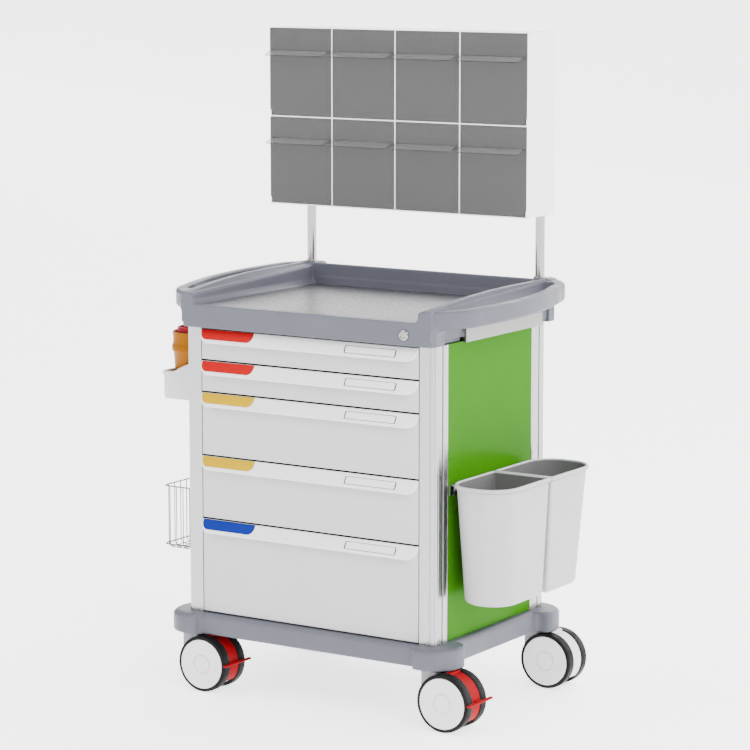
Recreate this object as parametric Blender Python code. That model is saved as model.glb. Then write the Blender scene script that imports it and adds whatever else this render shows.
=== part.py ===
"""A treatment trolley on four twin-wheel casters, in metres, +Z up, its drawers facing -Y.

The cabinet is laid out about its own middle plane and front face. One empty then carries every piece, so
that the origin is under the middle of the whole trolley, on the floor.
"""

import math

import bmesh
import bpy

# Fits
TOUCH = 0.0003  # left between pieces that rest on each other
SLIDE = 0.0010  # left between pieces that slide past each other

# Casters
WHEEL_RADIUS = 0.0625
WHEEL_PAIR_WIDTH = 0.0824
WHEEL_GAP = 0.031
TYRE_THICKNESS = 0.0047
TYRE_CROWN = 0.0014
AXLE_RADIUS = 0.005
TRAIL = 0.044
NECK_RADIUS = 0.020
HOOD_INSET = 0.0133
HOOD_MARGIN = 0.0025
HOOD_LOW = -40
HOOD_HIGH = 105
PLATE_THICKNESS = 0.0058
SWIVEL_INSET = 0.0097
SWIVEL_END_INSET = 0.012
PEDAL_OUT = 0.0115
PEDAL_LENGTH = 0.100
WHEEL_FACETS = 24

# Plinth
PLINTH_CLEARANCE = 0.003
PLINTH_HEIGHT = 0.0465
PLINTH_OVERHANG = 0.0143
PLINTH_FRONT = 0.015
BUMPER_OUT = 0.033
BUMPER_FRONT = 0.020
BUMPER_RADIUS = 0.062
BUMPER_RUN = 0.010
BUMPER_SWELL = 0.030
PLINTH_ROUNDING = 0.007

# Cabinet
CABINET_DEPTH = 0.460
FRONT_WIDTH = 0.5576
MODULE = 0.0702
DRAWER_MODULES = (1, 1, 2, 2, 3)
FRONT_GAP = 0.0035
FRONT_THICKNESS = 0.018
COLUMN_GAP = 0.0019
COLUMN_WIDTH = 0.040
COLUMN_DEPTH = 0.0557
COLUMN_CORNER = 0.012
SLOT_WIDTH = 0.0040
SLOT_FROM_FRONT = 0.0265
PANEL_INSET = 0.0039
PANEL_THICKNESS = 0.004
REAR_PANEL_THICKNESS = 0.003

# Drawers
LIP_HEIGHT = 0.029
LIP_REACH = 0.017
LIP_TOP_REACH = 0.0015
LIP_CORNER = 0.024
LIP_WALL = 0.0035
LIP_CEILING = 0.010
GRIP_DEPTH = 0.003
TAB_WIDTH = 0.140
TAB_HEIGHT = 0.022
TAB_THICKNESS = 0.0022
TAB_CORNER = 0.016
TAB_MARGIN = 0.002
LABEL_WIDTH = 0.130
LABEL_HEIGHT = 0.016
LABEL_DEPTH = 0.0012
LABEL_CORNER = 0.003
LABEL_FROM_END = 0.050
BOX_REAR_ROOM = 0.060
BOX_WALL = 0.002
BOX_LIFT = 0.010
BOX_DROP = 0.014
RUNNER_WIDTH = 0.0132
RUNNER_HEIGHT = 0.020
RUNNER_REAR_ROOM = 0.055
RUNNER_LIFT = 0.016
RUNNER_WEB = 0.002

# Worktop
WORKTOP_INSET = 0.0057
WORKTOP_FRONT = 0.020
WORKTOP_REAR_OVERHANG = 0.046
WORKTOP_SKIRT = 0.047
WORKTOP_LIFT = 0.0045
SKIRT_WALL = 0.015
FLOOR_THICKNESS = 0.003
FRONT_LIP = 0.003
CORNER_OVERHANG = 0.0033
CORNER_RADIUS = 0.020
CORNER_LENGTH = 0.050
CORNER_REAR = 0.016
SIDE_WALL_FRONT = 0.029
SIDE_WALL_HEIGHT = 0.050
SIDE_WALL_BASE_INSET = 0.0392
SIDE_WALL_LEAN = 0.028
SIDE_WALL_OUTER_INSET = 0.0027
BACK_WALL_INSET = 0.060
BACK_WALL_THICKNESS = 0.012
LEDGE_HEIGHT = 0.020
POST_BOSS = 0.0155
HANDLE_OUT = 0.0903
HANDLE_SHOULDER_OUT = 0.0668
HANDLE_HEIGHT = 0.038
HANDLE_DROP = 0.011
HANDLE_RISE = 0.021
HANDLE_BAR = 0.023
HANDLE_FRONT = 0.017
HANDLE_SLOT_START = 0.058
DECK_THICKNESS = 0.001
REAR_BLOCK_WIDTH = 0.010
REAR_BLOCK_LENGTH = 0.040
REAR_BLOCK_END = 0.019

# Lock
LOCK_FROM_END = 0.0248
LOCK_DROP = 0.023
LOCK_FLANGE = 0.011
LOCK_FLANGE_THICKNESS = 0.0025
LOCK_RADIUS = 0.009
BARREL_RADIUS = 0.006
CAM_LENGTH = 0.018
CAM_HALF_WIDTH = 0.004
CAM_THICKNESS = 0.0028
KEYWAY_HALF_WIDTH = 0.0008
KEYWAY_HALF_HEIGHT = 0.003
BAR_WIDTH = 0.010
BAR_THICKNESS = 0.009

# Side shelf
SHELF_START = 0.112
SHELF_REAR_ROOM = 0.026
SHELF_LENGTH = 0.300
SHELF_BOARD = 0.015
SHELF_STRIP_HEIGHT = 0.0295
SHELF_STRIP_THICKNESS = 0.005

# Rack of tilting bins
POST_INSET = 0.0187
POST_BEHIND = 0.004
POST_RADIUS = 0.0105
POST_SINK = 0.045
RACK_GAP = 0.142
RACK_OVERHANG = 0.0135
RACK_FORWARD = 0.1193
RACK_DEPTH = 0.1244
RACK_HEIGHT = 0.3969
RACK_WALL = 0.0025
RACK_BACK = 0.003
RACK_COLUMNS = 4
RACK_ROWS = 2
BIN_WALL = 0.0025
BIN_DEPTH = 0.105
BIN_BACK_HEIGHT = 0.140
BIN_HINGE_LIFT = 0.005
BIN_LIP_DROP = 0.052
BIN_LIP_REACH = 0.030
BIN_LIP_SIDE_GAP = 0.003

# Waste bins
WASTE_RIM_LIFT = 0.3445
WASTE_HEIGHT = 0.257
WASTE_GAP = 0.0133
WASTE_WIDTH = 0.138
WASTE_FRONT = 0.020
WASTE_LENGTH = 0.196
WASTE_SPLIT = 0.010
WASTE_CORNER = 0.060
WASTE_SPLIT_CORNER = 0.006
WASTE_TAPER = 0.012
WASTE_END_TAPER = 0.024
WASTE_WALL = 0.0025
WASTE_RIM = 0.0045
RAIL_HEIGHT = 0.024
RAIL_DEPTH = 0.0148
RAIL_INSET = 0.010

# Sharps holder and container
HOLDER_OUT = 0.1193
HOLDER_START = 0.069
HOLDER_DROP = 0.1818
HOLDER_OUTER_HEIGHT = 0.063
HOLDER_INNER_HEIGHT = 0.108
HOLDER_FLAT = 0.034
HOLDER_WALL = 0.003
HOLDER_CORNER = 0.012
JAR_BASE_RADIUS = 0.0440
JAR_NECK_RADIUS = 0.0500
JAR_RING_RADIUS = 0.0540
JAR_TOP_RADIUS = 0.0515
JAR_HEIGHT = 0.147
JAR_RING_DROP = 0.031
JAR_RING_HEIGHT = 0.012
JAR_WALL = 0.002
LID_RADIUS = 0.0420
LID_HEIGHT = 0.016
LID_SKIRT = 0.012
LID_HOLE = 0.012
JAR_FACETS = 24

# Wire basket
BASKET_START = 0.078
BASKET_LENGTH = 0.304
BASKET_LIFT = 0.2555
BASKET_HEIGHT = 0.145
WIRE = 0.003
WIRE_SIDES = 4
BASKET_STAND_OFF = 0.006
BASKET_FOOT_INSET = 0.031
BASKET_LONG_WIRES = 9
BASKET_SHORT_WIRES = 4

# Levels worked out from the sizes above
PLINTH_BOTTOM = 2 * WHEEL_RADIUS + PLINTH_CLEARANCE
PLINTH_TOP = PLINTH_BOTTOM + PLINTH_HEIGHT
STACK_BOTTOM = PLINTH_TOP + FRONT_GAP
STACK_TOP = STACK_BOTTOM + sum(DRAWER_MODULES) * MODULE - FRONT_GAP
SKIRT_BOTTOM = STACK_TOP + WORKTOP_LIFT
DECK_LEVEL = SKIRT_BOTTOM + WORKTOP_SKIRT
WALL_TOP = DECK_LEVEL + SIDE_WALL_HEIGHT
RACK_BOTTOM = WALL_TOP + RACK_GAP
WASTE_RIM_HEIGHT = PLINTH_TOP + WASTE_RIM_LIFT
BASKET_TOP = PLINTH_TOP + BASKET_LIFT
HOLDER_BASE = SKIRT_BOTTOM - HOLDER_DROP

# Planes worked out from the sizes above
HALF_FRONT = FRONT_WIDTH / 2
COLUMN_INNER = HALF_FRONT + COLUMN_GAP
COLUMN_OUTER = COLUMN_INNER + COLUMN_WIDTH
PANEL_FACE = COLUMN_OUTER - PANEL_INSET
BOX_HALF = COLUMN_INNER - TOUCH - RUNNER_WIDTH - SLIDE
CABINET_MIDDLE = CABINET_DEPTH / 2
FORK_HALF = WHEEL_GAP / 2 - 2 * SLIDE
HOOD_INNER = WHEEL_RADIUS - HOOD_INSET
HOOD_OUTER = WHEEL_RADIUS - HOOD_MARGIN
PEDAL_REACH = WHEEL_RADIUS + PEDAL_OUT
SWIVEL_X = COLUMN_OUTER - SWIVEL_INSET
SWIVEL_Y = CABINET_MIDDLE - SWIVEL_END_INSET
PLINTH_HALF_WIDTH = COLUMN_OUTER + PLINTH_OVERHANG
BOX_LENGTH = CABINET_DEPTH - BOX_REAR_ROOM
RUNNER_LENGTH = CABINET_DEPTH - RUNNER_REAR_ROOM
WORKTOP_HALF_WIDTH = COLUMN_OUTER - WORKTOP_INSET
WORKTOP_REAR = CABINET_DEPTH + WORKTOP_REAR_OVERHANG
CORNER_HALF_WIDTH = COLUMN_OUTER + CORNER_OVERHANG
SIDE_WALL_BASE = COLUMN_OUTER - SIDE_WALL_BASE_INSET
SIDE_WALL_OUTER = COLUMN_OUTER - SIDE_WALL_OUTER_INSET
HANDLE_REACH = COLUMN_OUTER + HANDLE_OUT
HANDLE_SHOULDER = COLUMN_OUTER + HANDLE_SHOULDER_OUT
LOCK_X = HALF_FRONT - LOCK_FROM_END
SHELF_WIDTH = CABINET_DEPTH - SHELF_REAR_ROOM - SHELF_START
POST_X = COLUMN_OUTER - POST_INSET
POST_Y = CABINET_DEPTH + POST_BEHIND
RACK_HALF_WIDTH = COLUMN_OUTER + RACK_OVERHANG
RACK_FRONT = POST_Y - RACK_FORWARD
WASTE_INNER = COLUMN_OUTER + WASTE_GAP
WASTE_OUTER = WASTE_INNER + WASTE_WIDTH
HOLDER_REACH = COLUMN_OUTER + HOLDER_OUT

# The trolley's overall middle, which the origin is under
REACH_LEFT = HOLDER_REACH
REACH_RIGHT = WASTE_OUTER + WASTE_RIM
BUMPER_FACE = PLINTH_FRONT + BUMPER_FRONT
REACH_FRONT = max(BUMPER_FACE, SWIVEL_Y + PEDAL_LENGTH / 2 - CABINET_MIDDLE)
REACH_BACK = max(WORKTOP_REAR, CABINET_DEPTH + BUMPER_FACE)
SHIFT_X = (REACH_LEFT - REACH_RIGHT) / 2
SHIFT_Y = (REACH_FRONT - REACH_BACK) / 2


def clear_scene():
    for obj in list(bpy.data.objects):
        bpy.data.objects.remove(obj, do_unlink=True)


def material(name, colour, roughness, metallic=0.0):
    """A plain Principled material."""
    made = bpy.data.materials.new(name)
    made.use_nodes = True
    shader = made.node_tree.nodes["Principled BSDF"]
    shader.inputs["Base Color"].default_value = (*colour, 1.0)
    shader.inputs["Roughness"].default_value = roughness
    shader.inputs["Metallic"].default_value = metallic
    made.diffuse_color = (*colour, 1.0)
    return made


# Outlines: lists of points in a plane


def arc(centre, radius, start, end, steps):
    """Points on an arc, angles in degrees."""
    points = []
    for step in range(steps + 1):
        angle = math.radians(start + (end - start) * step / steps)
        points.append((centre[0] + radius * math.cos(angle), centre[1] + radius * math.sin(angle)))
    return points


def rounded(low, high, radii, steps=5):
    """A rectangle from low to high, with one radius for each corner, anticlockwise from low."""
    corners = [(low[0], low[1]), (high[0], low[1]), (high[0], high[1]), (low[0], high[1])]
    inward = [(1, 1), (-1, 1), (-1, -1), (1, -1)]
    points = []
    for turn in range(4):
        radius = radii[turn]
        if radius == 0:
            points.append(corners[turn])
            continue
        centre = tuple(corners[turn][side] + inward[turn][side] * radius for side in range(2))
        points += arc(centre, radius, 180 + 90 * turn, 270 + 90 * turn, steps)
    return points


def bend(start, corner, end, steps):
    """Points on a smooth bend from start to end that turns at the corner."""
    points = []
    for step in range(steps + 1):
        t = step / steps
        weights = ((1 - t) ** 2, 2 * t * (1 - t), t * t)
        shares = list(zip(weights, (start, corner, end)))
        points.append(tuple(sum(weight * point[side] for weight, point in shares) for side in range(2)))
    return points


def mirrored(points, about):
    """The same outline on the other side of the line where the second coordinate is about."""
    return [(across, 2 * about - along) for across, along in reversed(points)]


# Solids: bmesh builders


def lift(outline, height, axis="Z"):
    """An outline as a ring of points in space, at one height along an axis."""
    if axis == "X":
        return [(height, a, b) for a, b in outline]
    if axis == "Y":
        return [(a, height, b) for a, b in outline]
    return [(a, b, height) for a, b in outline]


def loft(rings, closed=False, into=None):
    """One closed solid through a row of rings. It is capped at both ends, or runs round on itself."""
    solid = into or bmesh.new()
    rows = [[solid.verts.new(point) for point in ring] for ring in rings]
    count = len(rows[0])
    pairs = list(zip(rows, rows[1:]))
    if closed:
        pairs.append((rows[-1], rows[0]))
    faces = []
    for first, second in pairs:
        for place in range(count):
            after = (place + 1) % count
            faces.append(solid.faces.new((first[place], first[after], second[after], second[place])))
    if not closed:
        faces.append(solid.faces.new(list(reversed(rows[0]))))
        faces.append(solid.faces.new(rows[-1]))
    bmesh.ops.recalc_face_normals(solid, faces=faces)
    return solid


def prism(outline, low, high, axis="Z", into=None):
    return loft([lift(outline, low, axis), lift(outline, high, axis)], into=into)


def block(low, high, into=None):
    return prism(rounded(low[:2], high[:2], (0, 0, 0, 0)), low[2], high[2], into=into)


def circle(radius, count, centre=(0.0, 0.0)):
    """A ring of points whose first one is straight below the centre."""
    return arc(centre, radius, -90, 270 - 360 / count, count - 1)


def turned(profile, count, axis="Z", centre=(0.0, 0.0), closed=False, into=None):
    """A solid turned about an axis, from (radius, height) pairs."""
    rings = [lift(circle(radius, count, centre), height, axis) for radius, height in profile]
    return loft(rings, closed, into)


def rod(radius, low, high, count, axis="Z", centre=(0.0, 0.0), into=None):
    return turned([(radius, low), (radius, high)], count, axis, centre, into=into)


def vessel(outer, inner, into=None):
    """An open vessel: rings up its outside, then down its inside."""
    return loft(outer + inner, into=into)


def flipped_x(solid):
    """The same solid on the other side of the middle plane."""
    for vert in solid.verts:
        vert.co.x = -vert.co.x
    bmesh.ops.reverse_faces(solid, faces=solid.faces)
    return solid


# Objects


def place_object(name, data, parent, place):
    obj = bpy.data.objects.new(name, data)
    bpy.context.scene.collection.objects.link(obj)
    obj.parent = parent
    obj.location = place
    return obj


def solid_mesh(name, solid):
    mesh = bpy.data.meshes.new(name)
    solid.to_mesh(mesh)
    solid.free()
    mesh.shade_smooth()
    mesh.set_sharp_from_angle(angle=math.radians(35))
    return mesh


def add(name, solid, made, parent, place=(0.0, 0.0, 0.0)):
    """One named piece of the trolley."""
    mesh = solid_mesh(name, solid)
    mesh.materials.append(made)
    return place_object(name, mesh, parent, place)


def pivot(name, parent, place):
    """An empty that carries the pieces of one moving body."""
    return place_object(name, None, parent, place)


def combine(obj, solid, operation):
    """A Boolean with a hidden solid in the same frame as the object."""
    name = f"{obj.name}_{operation.lower()}_{len(obj.modifiers)}"
    tool = place_object(name, solid_mesh(name, solid), obj.parent, obj.location)
    tool.hide_render = True
    tool.display_type = "WIRE"
    modifier = obj.modifiers.new(name, "BOOLEAN")
    modifier.operation = operation
    modifier.object = tool
    modifier.solver = "EXACT"
    return obj


def cut(obj, solid):
    return combine(obj, solid, "DIFFERENCE")


def join(obj, solid):
    return combine(obj, solid, "UNION")


# Base and cabinet


def plinth_outline(inset):
    """The plinth in plan: a rectangle whose four corners swell out into bumpers."""
    side = PLINTH_HALF_WIDTH - inset
    front = -PLINTH_FRONT + inset
    out = side + BUMPER_OUT
    low = front - BUMPER_FRONT
    centre = (out - BUMPER_RADIUS, low + BUMPER_RADIUS)
    start = centre[0] - BUMPER_RUN
    end = centre[1] + BUMPER_RUN
    quarter = [(start - BUMPER_SWELL, front), (start - BUMPER_SWELL / 2, (front + low) / 2)]
    quarter += arc(centre, BUMPER_RADIUS, -90, 0, 7)
    quarter += [(out, end), ((out + side) / 2, end + BUMPER_SWELL / 2), (side, end + BUMPER_SWELL)]
    right = quarter + mirrored(quarter, CABINET_MIDDLE)
    return right + [(-across, along) for across, along in reversed(right)]


def make_plinth(frame, made):
    rounding = PLINTH_ROUNDING
    low = lift(plinth_outline(rounding / 2), PLINTH_BOTTOM)
    waist = lift(plinth_outline(0.0), PLINTH_BOTTOM + rounding)
    shoulder = lift(plinth_outline(rounding / 7), PLINTH_TOP - rounding)
    high = lift(plinth_outline(rounding), PLINTH_TOP)
    add("base_plinth", loft([low, waist, shoulder, high]), made, frame)


def column_outline():
    """The front right column in plan, with a rounded outer corner and a slot down its side."""
    slot = SLOT_FROM_FRONT
    slot_end = slot + SLOT_WIDTH
    inside = COLUMN_OUTER - SLOT_WIDTH
    points = [(COLUMN_INNER, 0.0)]
    points += arc((COLUMN_OUTER - COLUMN_CORNER, COLUMN_CORNER), COLUMN_CORNER, -90, 0, 6)
    points += [(COLUMN_OUTER, slot), (inside, slot), (inside, slot_end), (COLUMN_OUTER, slot_end)]
    points += [(COLUMN_OUTER, COLUMN_DEPTH), (COLUMN_INNER, COLUMN_DEPTH)]
    return points


def make_columns(frame, made):
    bottom = PLINTH_TOP + TOUCH
    top = SKIRT_BOTTOM - TOUCH
    front = column_outline()
    for end, right in (("front", front), ("rear", mirrored(front, CABINET_MIDDLE))):
        left = [(-across, along) for across, along in reversed(right)]
        add(f"{end}_column_right", prism(right, bottom, top), made, frame)
        add(f"{end}_column_left", prism(left, bottom, top), made, frame)


def make_panels(frame, green, white):
    bottom = PLINTH_TOP + TOUCH
    top = SKIRT_BOTTOM - TOUCH
    start = COLUMN_DEPTH + TOUCH
    low = (PANEL_FACE - PANEL_THICKNESS, start, bottom)
    high = (PANEL_FACE, CABINET_DEPTH - start, top)
    add("side_panel_right", block(low, high), green, frame)
    add("side_panel_left", flipped_x(block(low, high)), green, frame)
    half = COLUMN_INNER - TOUCH
    back = CABINET_DEPTH - REAR_PANEL_THICKNESS
    add("rear_panel", block((-half, back, bottom), (half, CABINET_DEPTH, top)), white, frame)


# Drawers


def drawer_levels():
    """The bottom and top of each drawer front, from the top drawer down."""
    levels = []
    top = STACK_TOP
    for modules in DRAWER_MODULES:
        bottom = top - modules * MODULE + FRONT_GAP
        levels.append((bottom, top))
        top = bottom - FRONT_GAP
    return levels


def lip_face(drop):
    """How far the pull's sloping face stands out, at a drop below the top of the front."""
    return -(LIP_TOP_REACH + (LIP_REACH - LIP_TOP_REACH) * drop / LIP_HEIGHT)


def sloped(outline, top, offset):
    """A ring on the pull's sloping face, or parallel to it, from an outline of width and height."""
    return [(across, lip_face(top - height) + offset, height) for across, height in outline]


def tab_outline(top, grow):
    """The coloured tab at the left end of the pull, with a rounded lower edge."""
    left = -HALF_FRONT + TAB_MARGIN - grow
    low = (left, top - TAB_HEIGHT - grow)
    high = (left + TAB_WIDTH + 2 * grow, top - TOUCH + 2 * grow)
    return rounded(low, high, (TAB_CORNER, TAB_CORNER, 0, 0), 6)


def drawer_front(number, bottom, top, made, parent):
    plate = block((-HALF_FRONT, 0.0, bottom), (HALF_FRONT, FRONT_THICKNESS, top))
    front = add(f"drawer_{number}_front", plate, made, parent)
    low = (-HALF_FRONT, top - LIP_HEIGHT)
    outline = rounded(low, (HALF_FRONT, top), (LIP_CORNER, LIP_CORNER, 0, 0), 6)
    join(front, loft([sloped(outline, top, 0.0), lift(outline, FRONT_THICKNESS / 2, "Y")]))
    under = top - LIP_HEIGHT - SLIDE
    ceiling = top - LIP_CEILING
    hollow = [(-LIP_REACH + LIP_WALL, under), (GRIP_DEPTH, under)]
    hollow += [(GRIP_DEPTH, ceiling), (-GRIP_DEPTH, ceiling)]
    cut(front, prism(hollow, -HALF_FRONT + LIP_CORNER, HALF_FRONT - LIP_CORNER, "X"))
    depth = TAB_THICKNESS + TOUCH
    tab_cut = tab_outline(top, TOUCH)
    cut(front, loft([sloped(tab_cut, top, -0.010), sloped(tab_cut, top, depth)]))
    right = HALF_FRONT - LABEL_FROM_END
    middle = top - LIP_HEIGHT / 2
    label_low = (right - LABEL_WIDTH, middle - LABEL_HEIGHT / 2)
    label = rounded(label_low, (right, middle + LABEL_HEIGHT / 2), (LABEL_CORNER,) * 4, 3)
    cut(front, loft([sloped(label, top, -0.010), sloped(label, top, LABEL_DEPTH)]))


def drawer_box(number, bottom, top, made, parent):
    """The tray behind a drawer front."""
    half = BOX_HALF
    start = FRONT_THICKNESS + TOUCH
    floor = bottom + BOX_LIFT
    rim = top - BOX_DROP
    outer = rounded((-half, start), (half, start + BOX_LENGTH), (0, 0, 0, 0))
    inner_high = (half - BOX_WALL, start + BOX_LENGTH - BOX_WALL)
    inner = rounded((-half + BOX_WALL, start + BOX_WALL), inner_high, (0, 0, 0, 0))
    tray = vessel([lift(outer, floor), lift(outer, rim)], [lift(inner, rim), lift(inner, floor + BOX_WALL)])
    add(f"drawer_{number}_box", tray, made, parent)


def make_drawers(frame, white, steel, tab_colours):
    for index, (bottom, top) in enumerate(drawer_levels()):
        number = index + 1
        body = pivot(f"drawer_{number}_slide", frame, (0.0, 0.0, 0.0))
        drawer_front(number, bottom, top, white, body)
        drawer_box(number, bottom, top, steel, body)
        outline = tab_outline(top, 0.0)
        tab = loft([sloped(outline, top, 0.0), sloped(outline, top, TAB_THICKNESS)])
        add(f"drawer_{number}_tab", tab, tab_colours[index], body)


def make_runners(frame, made):
    """A side plate with one rail for every drawer, between the front and rear columns."""
    outer = COLUMN_INNER - TOUCH
    inner = outer - RUNNER_WIDTH
    web = outer - RUNNER_WEB
    start = FRONT_THICKNESS + BAR_THICKNESS + 3 * SLIDE
    top = STACK_TOP - RUNNER_LIFT
    comb = [(web, top), (outer, top), (outer, STACK_BOTTOM), (web, STACK_BOTTOM)]
    for bottom, _ in reversed(drawer_levels()):
        low = bottom + RUNNER_LIFT
        high = low + RUNNER_HEIGHT
        comb += [(web, low), (inner, low), (inner, high), (web, high)]
    add("runner_frame_right", prism(comb, start, start + RUNNER_LENGTH, "Y"), made, frame)
    add("runner_frame_left", flipped_x(prism(comb, start, start + RUNNER_LENGTH, "Y")), made, frame)


# Worktop


def handle_outline():
    """The right handle's outer edge in plan, from the front of the worktop to its back."""
    middle = (WORKTOP_REAR - WORKTOP_FRONT) / 2
    shoulder = 0.075
    front = -WORKTOP_FRONT + TOUCH
    half = [(WORKTOP_HALF_WIDTH - HANDLE_FRONT, front)]
    half += bend((WORKTOP_HALF_WIDTH - 0.010, front), (0.378, 0.012), (HANDLE_SHOULDER, shoulder), 7)
    bow = HANDLE_REACH - HANDLE_SHOULDER
    for step in range(1, 6):
        away = 1 - step / 5
        half.append((HANDLE_REACH - bow * away * away, middle - (middle - shoulder) * away))
    return half + mirrored(half[:-1], middle)


def handle_slot():
    """The hand slot inside the handle: straight along the worktop, bowed along the bar."""
    middle = (WORKTOP_REAR - WORKTOP_FRONT) / 2
    inner = WORKTOP_HALF_WIDTH + 0.0055
    start = HANDLE_SLOT_START - WORKTOP_FRONT
    shoulder = HANDLE_SHOULDER - HANDLE_BAR
    half = [(inner, start)]
    half += bend((inner + 0.012, start), (shoulder - 0.004, start), (shoulder, start + 0.055), 6)
    bow = HANDLE_REACH - HANDLE_SHOULDER
    first = half[-1][1]
    for step in range(1, 6):
        away = 1 - step / 5
        half.append((shoulder + bow - bow * away * away, middle - (middle - first) * away))
    return half + mirrored(half[:-1], middle)


def handle_prism(outline, low, high):
    """A solid between two levels that both rise towards the back of the worktop."""
    length = WORKTOP_REAR + WORKTOP_FRONT

    def ring(level):
        return [(a, b, level + HANDLE_RISE * (b + WORKTOP_FRONT) / length) for a, b in outline]

    return loft([ring(low), ring(high)])


def side_wall():
    """The wall beside the tray: it rises in a long arch from the front, its inner face leaning out."""
    base = DECK_LEVEL - FLOOR_THICKNESS / 2
    front = -WORKTOP_FRONT + 0.006
    top = DECK_LEVEL + SIDE_WALL_HEIGHT - 0.0005
    outline = [(WORKTOP_REAR - TOUCH, base), (WORKTOP_REAR - TOUCH, top)]
    start = (front + 0.008, DECK_LEVEL + SIDE_WALL_FRONT)
    outline += list(reversed(bend(start, (0.140, top), (0.340, top), 6)))
    outline += [(front, base)]
    lean = SIDE_WALL_LEAN / SIDE_WALL_HEIGHT
    inner = [(SIDE_WALL_BASE + lean * (level - DECK_LEVEL), along, level) for along, level in outline]
    outer = [(SIDE_WALL_OUTER, along, level) for along, level in outline]
    return loft([inner, outer])


def back_walls():
    """Across the back: a thin wall, a low ledge behind it, and a boss round the foot of each post."""
    ceiling = DECK_LEVEL - FLOOR_THICKNESS
    front = WORKTOP_REAR - BACK_WALL_INSET
    rear = WORKTOP_REAR - 2 * TOUCH
    half = WORKTOP_HALF_WIDTH - 0.002
    ledge_front = front + BACK_WALL_THICKNESS / 2
    solids = [
        block((-half, front, ceiling), (half, front + BACK_WALL_THICKNESS, WALL_TOP)),
        block((-half, ledge_front, ceiling), (half, rear, DECK_LEVEL + LEDGE_HEIGHT)),
    ]
    for across in (-POST_X, POST_X):
        low = (across - POST_BOSS, front + TOUCH, ceiling + TOUCH)
        solids.append(block(low, (across + POST_BOSS, POST_Y + POST_BOSS, WALL_TOP - TOUCH)))
    return solids


def make_worktop(frame, made):
    rear = WORKTOP_REAR
    outer_low = (-CORNER_HALF_WIDTH, -WORKTOP_FRONT)
    outer = rounded(outer_low, (CORNER_HALF_WIDTH, rear), (CORNER_RADIUS,) * 4, 4)
    wall = SKIRT_WALL
    inner_low = (-WORKTOP_HALF_WIDTH + wall, -WORKTOP_FRONT + wall)
    inner = rounded(inner_low, (WORKTOP_HALF_WIDTH - wall, rear - wall), (0.004,) * 4, 4)
    ceiling = DECK_LEVEL - FLOOR_THICKNESS
    rings_out = [lift(outer, DECK_LEVEL), lift(outer, SKIRT_BOTTOM)]
    skirt = vessel(rings_out, [lift(inner, SKIRT_BOTTOM), lift(inner, ceiling)])
    top = add("worktop", skirt, made, frame)
    handle_low = DECK_LEVEL - HANDLE_DROP
    recess_low = (WORKTOP_HALF_WIDTH, CORNER_LENGTH - WORKTOP_FRONT, SKIRT_BOTTOM - 0.010)
    recess_high = (CORNER_HALF_WIDTH + 0.010, rear - CORNER_REAR, DECK_LEVEL + 0.010)
    for flip in (False, True):
        recess = block(recess_low, recess_high)
        cut(top, flipped_x(recess) if flip else recess)
    lip_half = WORKTOP_HALF_WIDTH - SKIRT_WALL
    lip_back = -WORKTOP_FRONT + SKIRT_WALL + 0.006
    lip_low = (-lip_half, -WORKTOP_FRONT + TOUCH, ceiling)
    join(top, block(lip_low, (lip_half, lip_back, DECK_LEVEL + FRONT_LIP)))
    for solid in back_walls():
        join(top, solid)
    for flip in (False, True):
        root = SIDE_WALL_OUTER - 0.007
        outline = handle_outline() + [(root, rear - HANDLE_FRONT), (root, HANDLE_FRONT - WORKTOP_FRONT)]
        pieces = [
            side_wall(),
            handle_prism(outline, handle_low, handle_low + HANDLE_HEIGHT),
            block(
                (WORKTOP_HALF_WIDTH - 0.010, rear - REAR_BLOCK_LENGTH, SKIRT_BOTTOM + 0.001),
                (WORKTOP_HALF_WIDTH + REAR_BLOCK_WIDTH, rear - REAR_BLOCK_END, DECK_LEVEL + HANDLE_DROP),
            ),
        ]
        for piece in pieces:
            join(top, flipped_x(piece) if flip else piece)
        slot = handle_prism(handle_slot(), handle_low - 0.010, handle_low + HANDLE_HEIGHT + 0.010)
        cut(top, flipped_x(slot) if flip else slot)
        socket = (-POST_X if flip else POST_X, POST_Y)
        sunk = WALL_TOP - POST_SINK - TOUCH
        cut(top, rod(POST_RADIUS + TOUCH, sunk, WALL_TOP + 0.020, 20, centre=socket))
    lock = (LOCK_X, SKIRT_BOTTOM + LOCK_DROP)
    cut(top, rod(LOCK_RADIUS + TOUCH, -WORKTOP_FRONT - 0.010, 0.010, 20, "Y", lock))
    mouth_low = (WORKTOP_HALF_WIDTH - wall - 0.010, SHELF_START - SLIDE, SKIRT_BOTTOM - 0.010)
    mouth_high = (WORKTOP_HALF_WIDTH + 0.005, SHELF_START + SHELF_WIDTH + SLIDE, shelf_top() + SLIDE)
    cut(top, block(mouth_low, mouth_high))


def make_deck(frame, made):
    """The thin sheet that lines the tray floor, between the front lip, the side walls and the back wall."""
    half = SIDE_WALL_BASE - TOUCH
    front = -WORKTOP_FRONT + SKIRT_WALL + 0.006 + TOUCH
    back = WORKTOP_REAR - BACK_WALL_INSET - TOUCH
    low = DECK_LEVEL + TOUCH
    add("deck_sheet", block((-half, front, low), (half, back, low + DECK_THICKNESS)), made, frame)


# Lock


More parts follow.
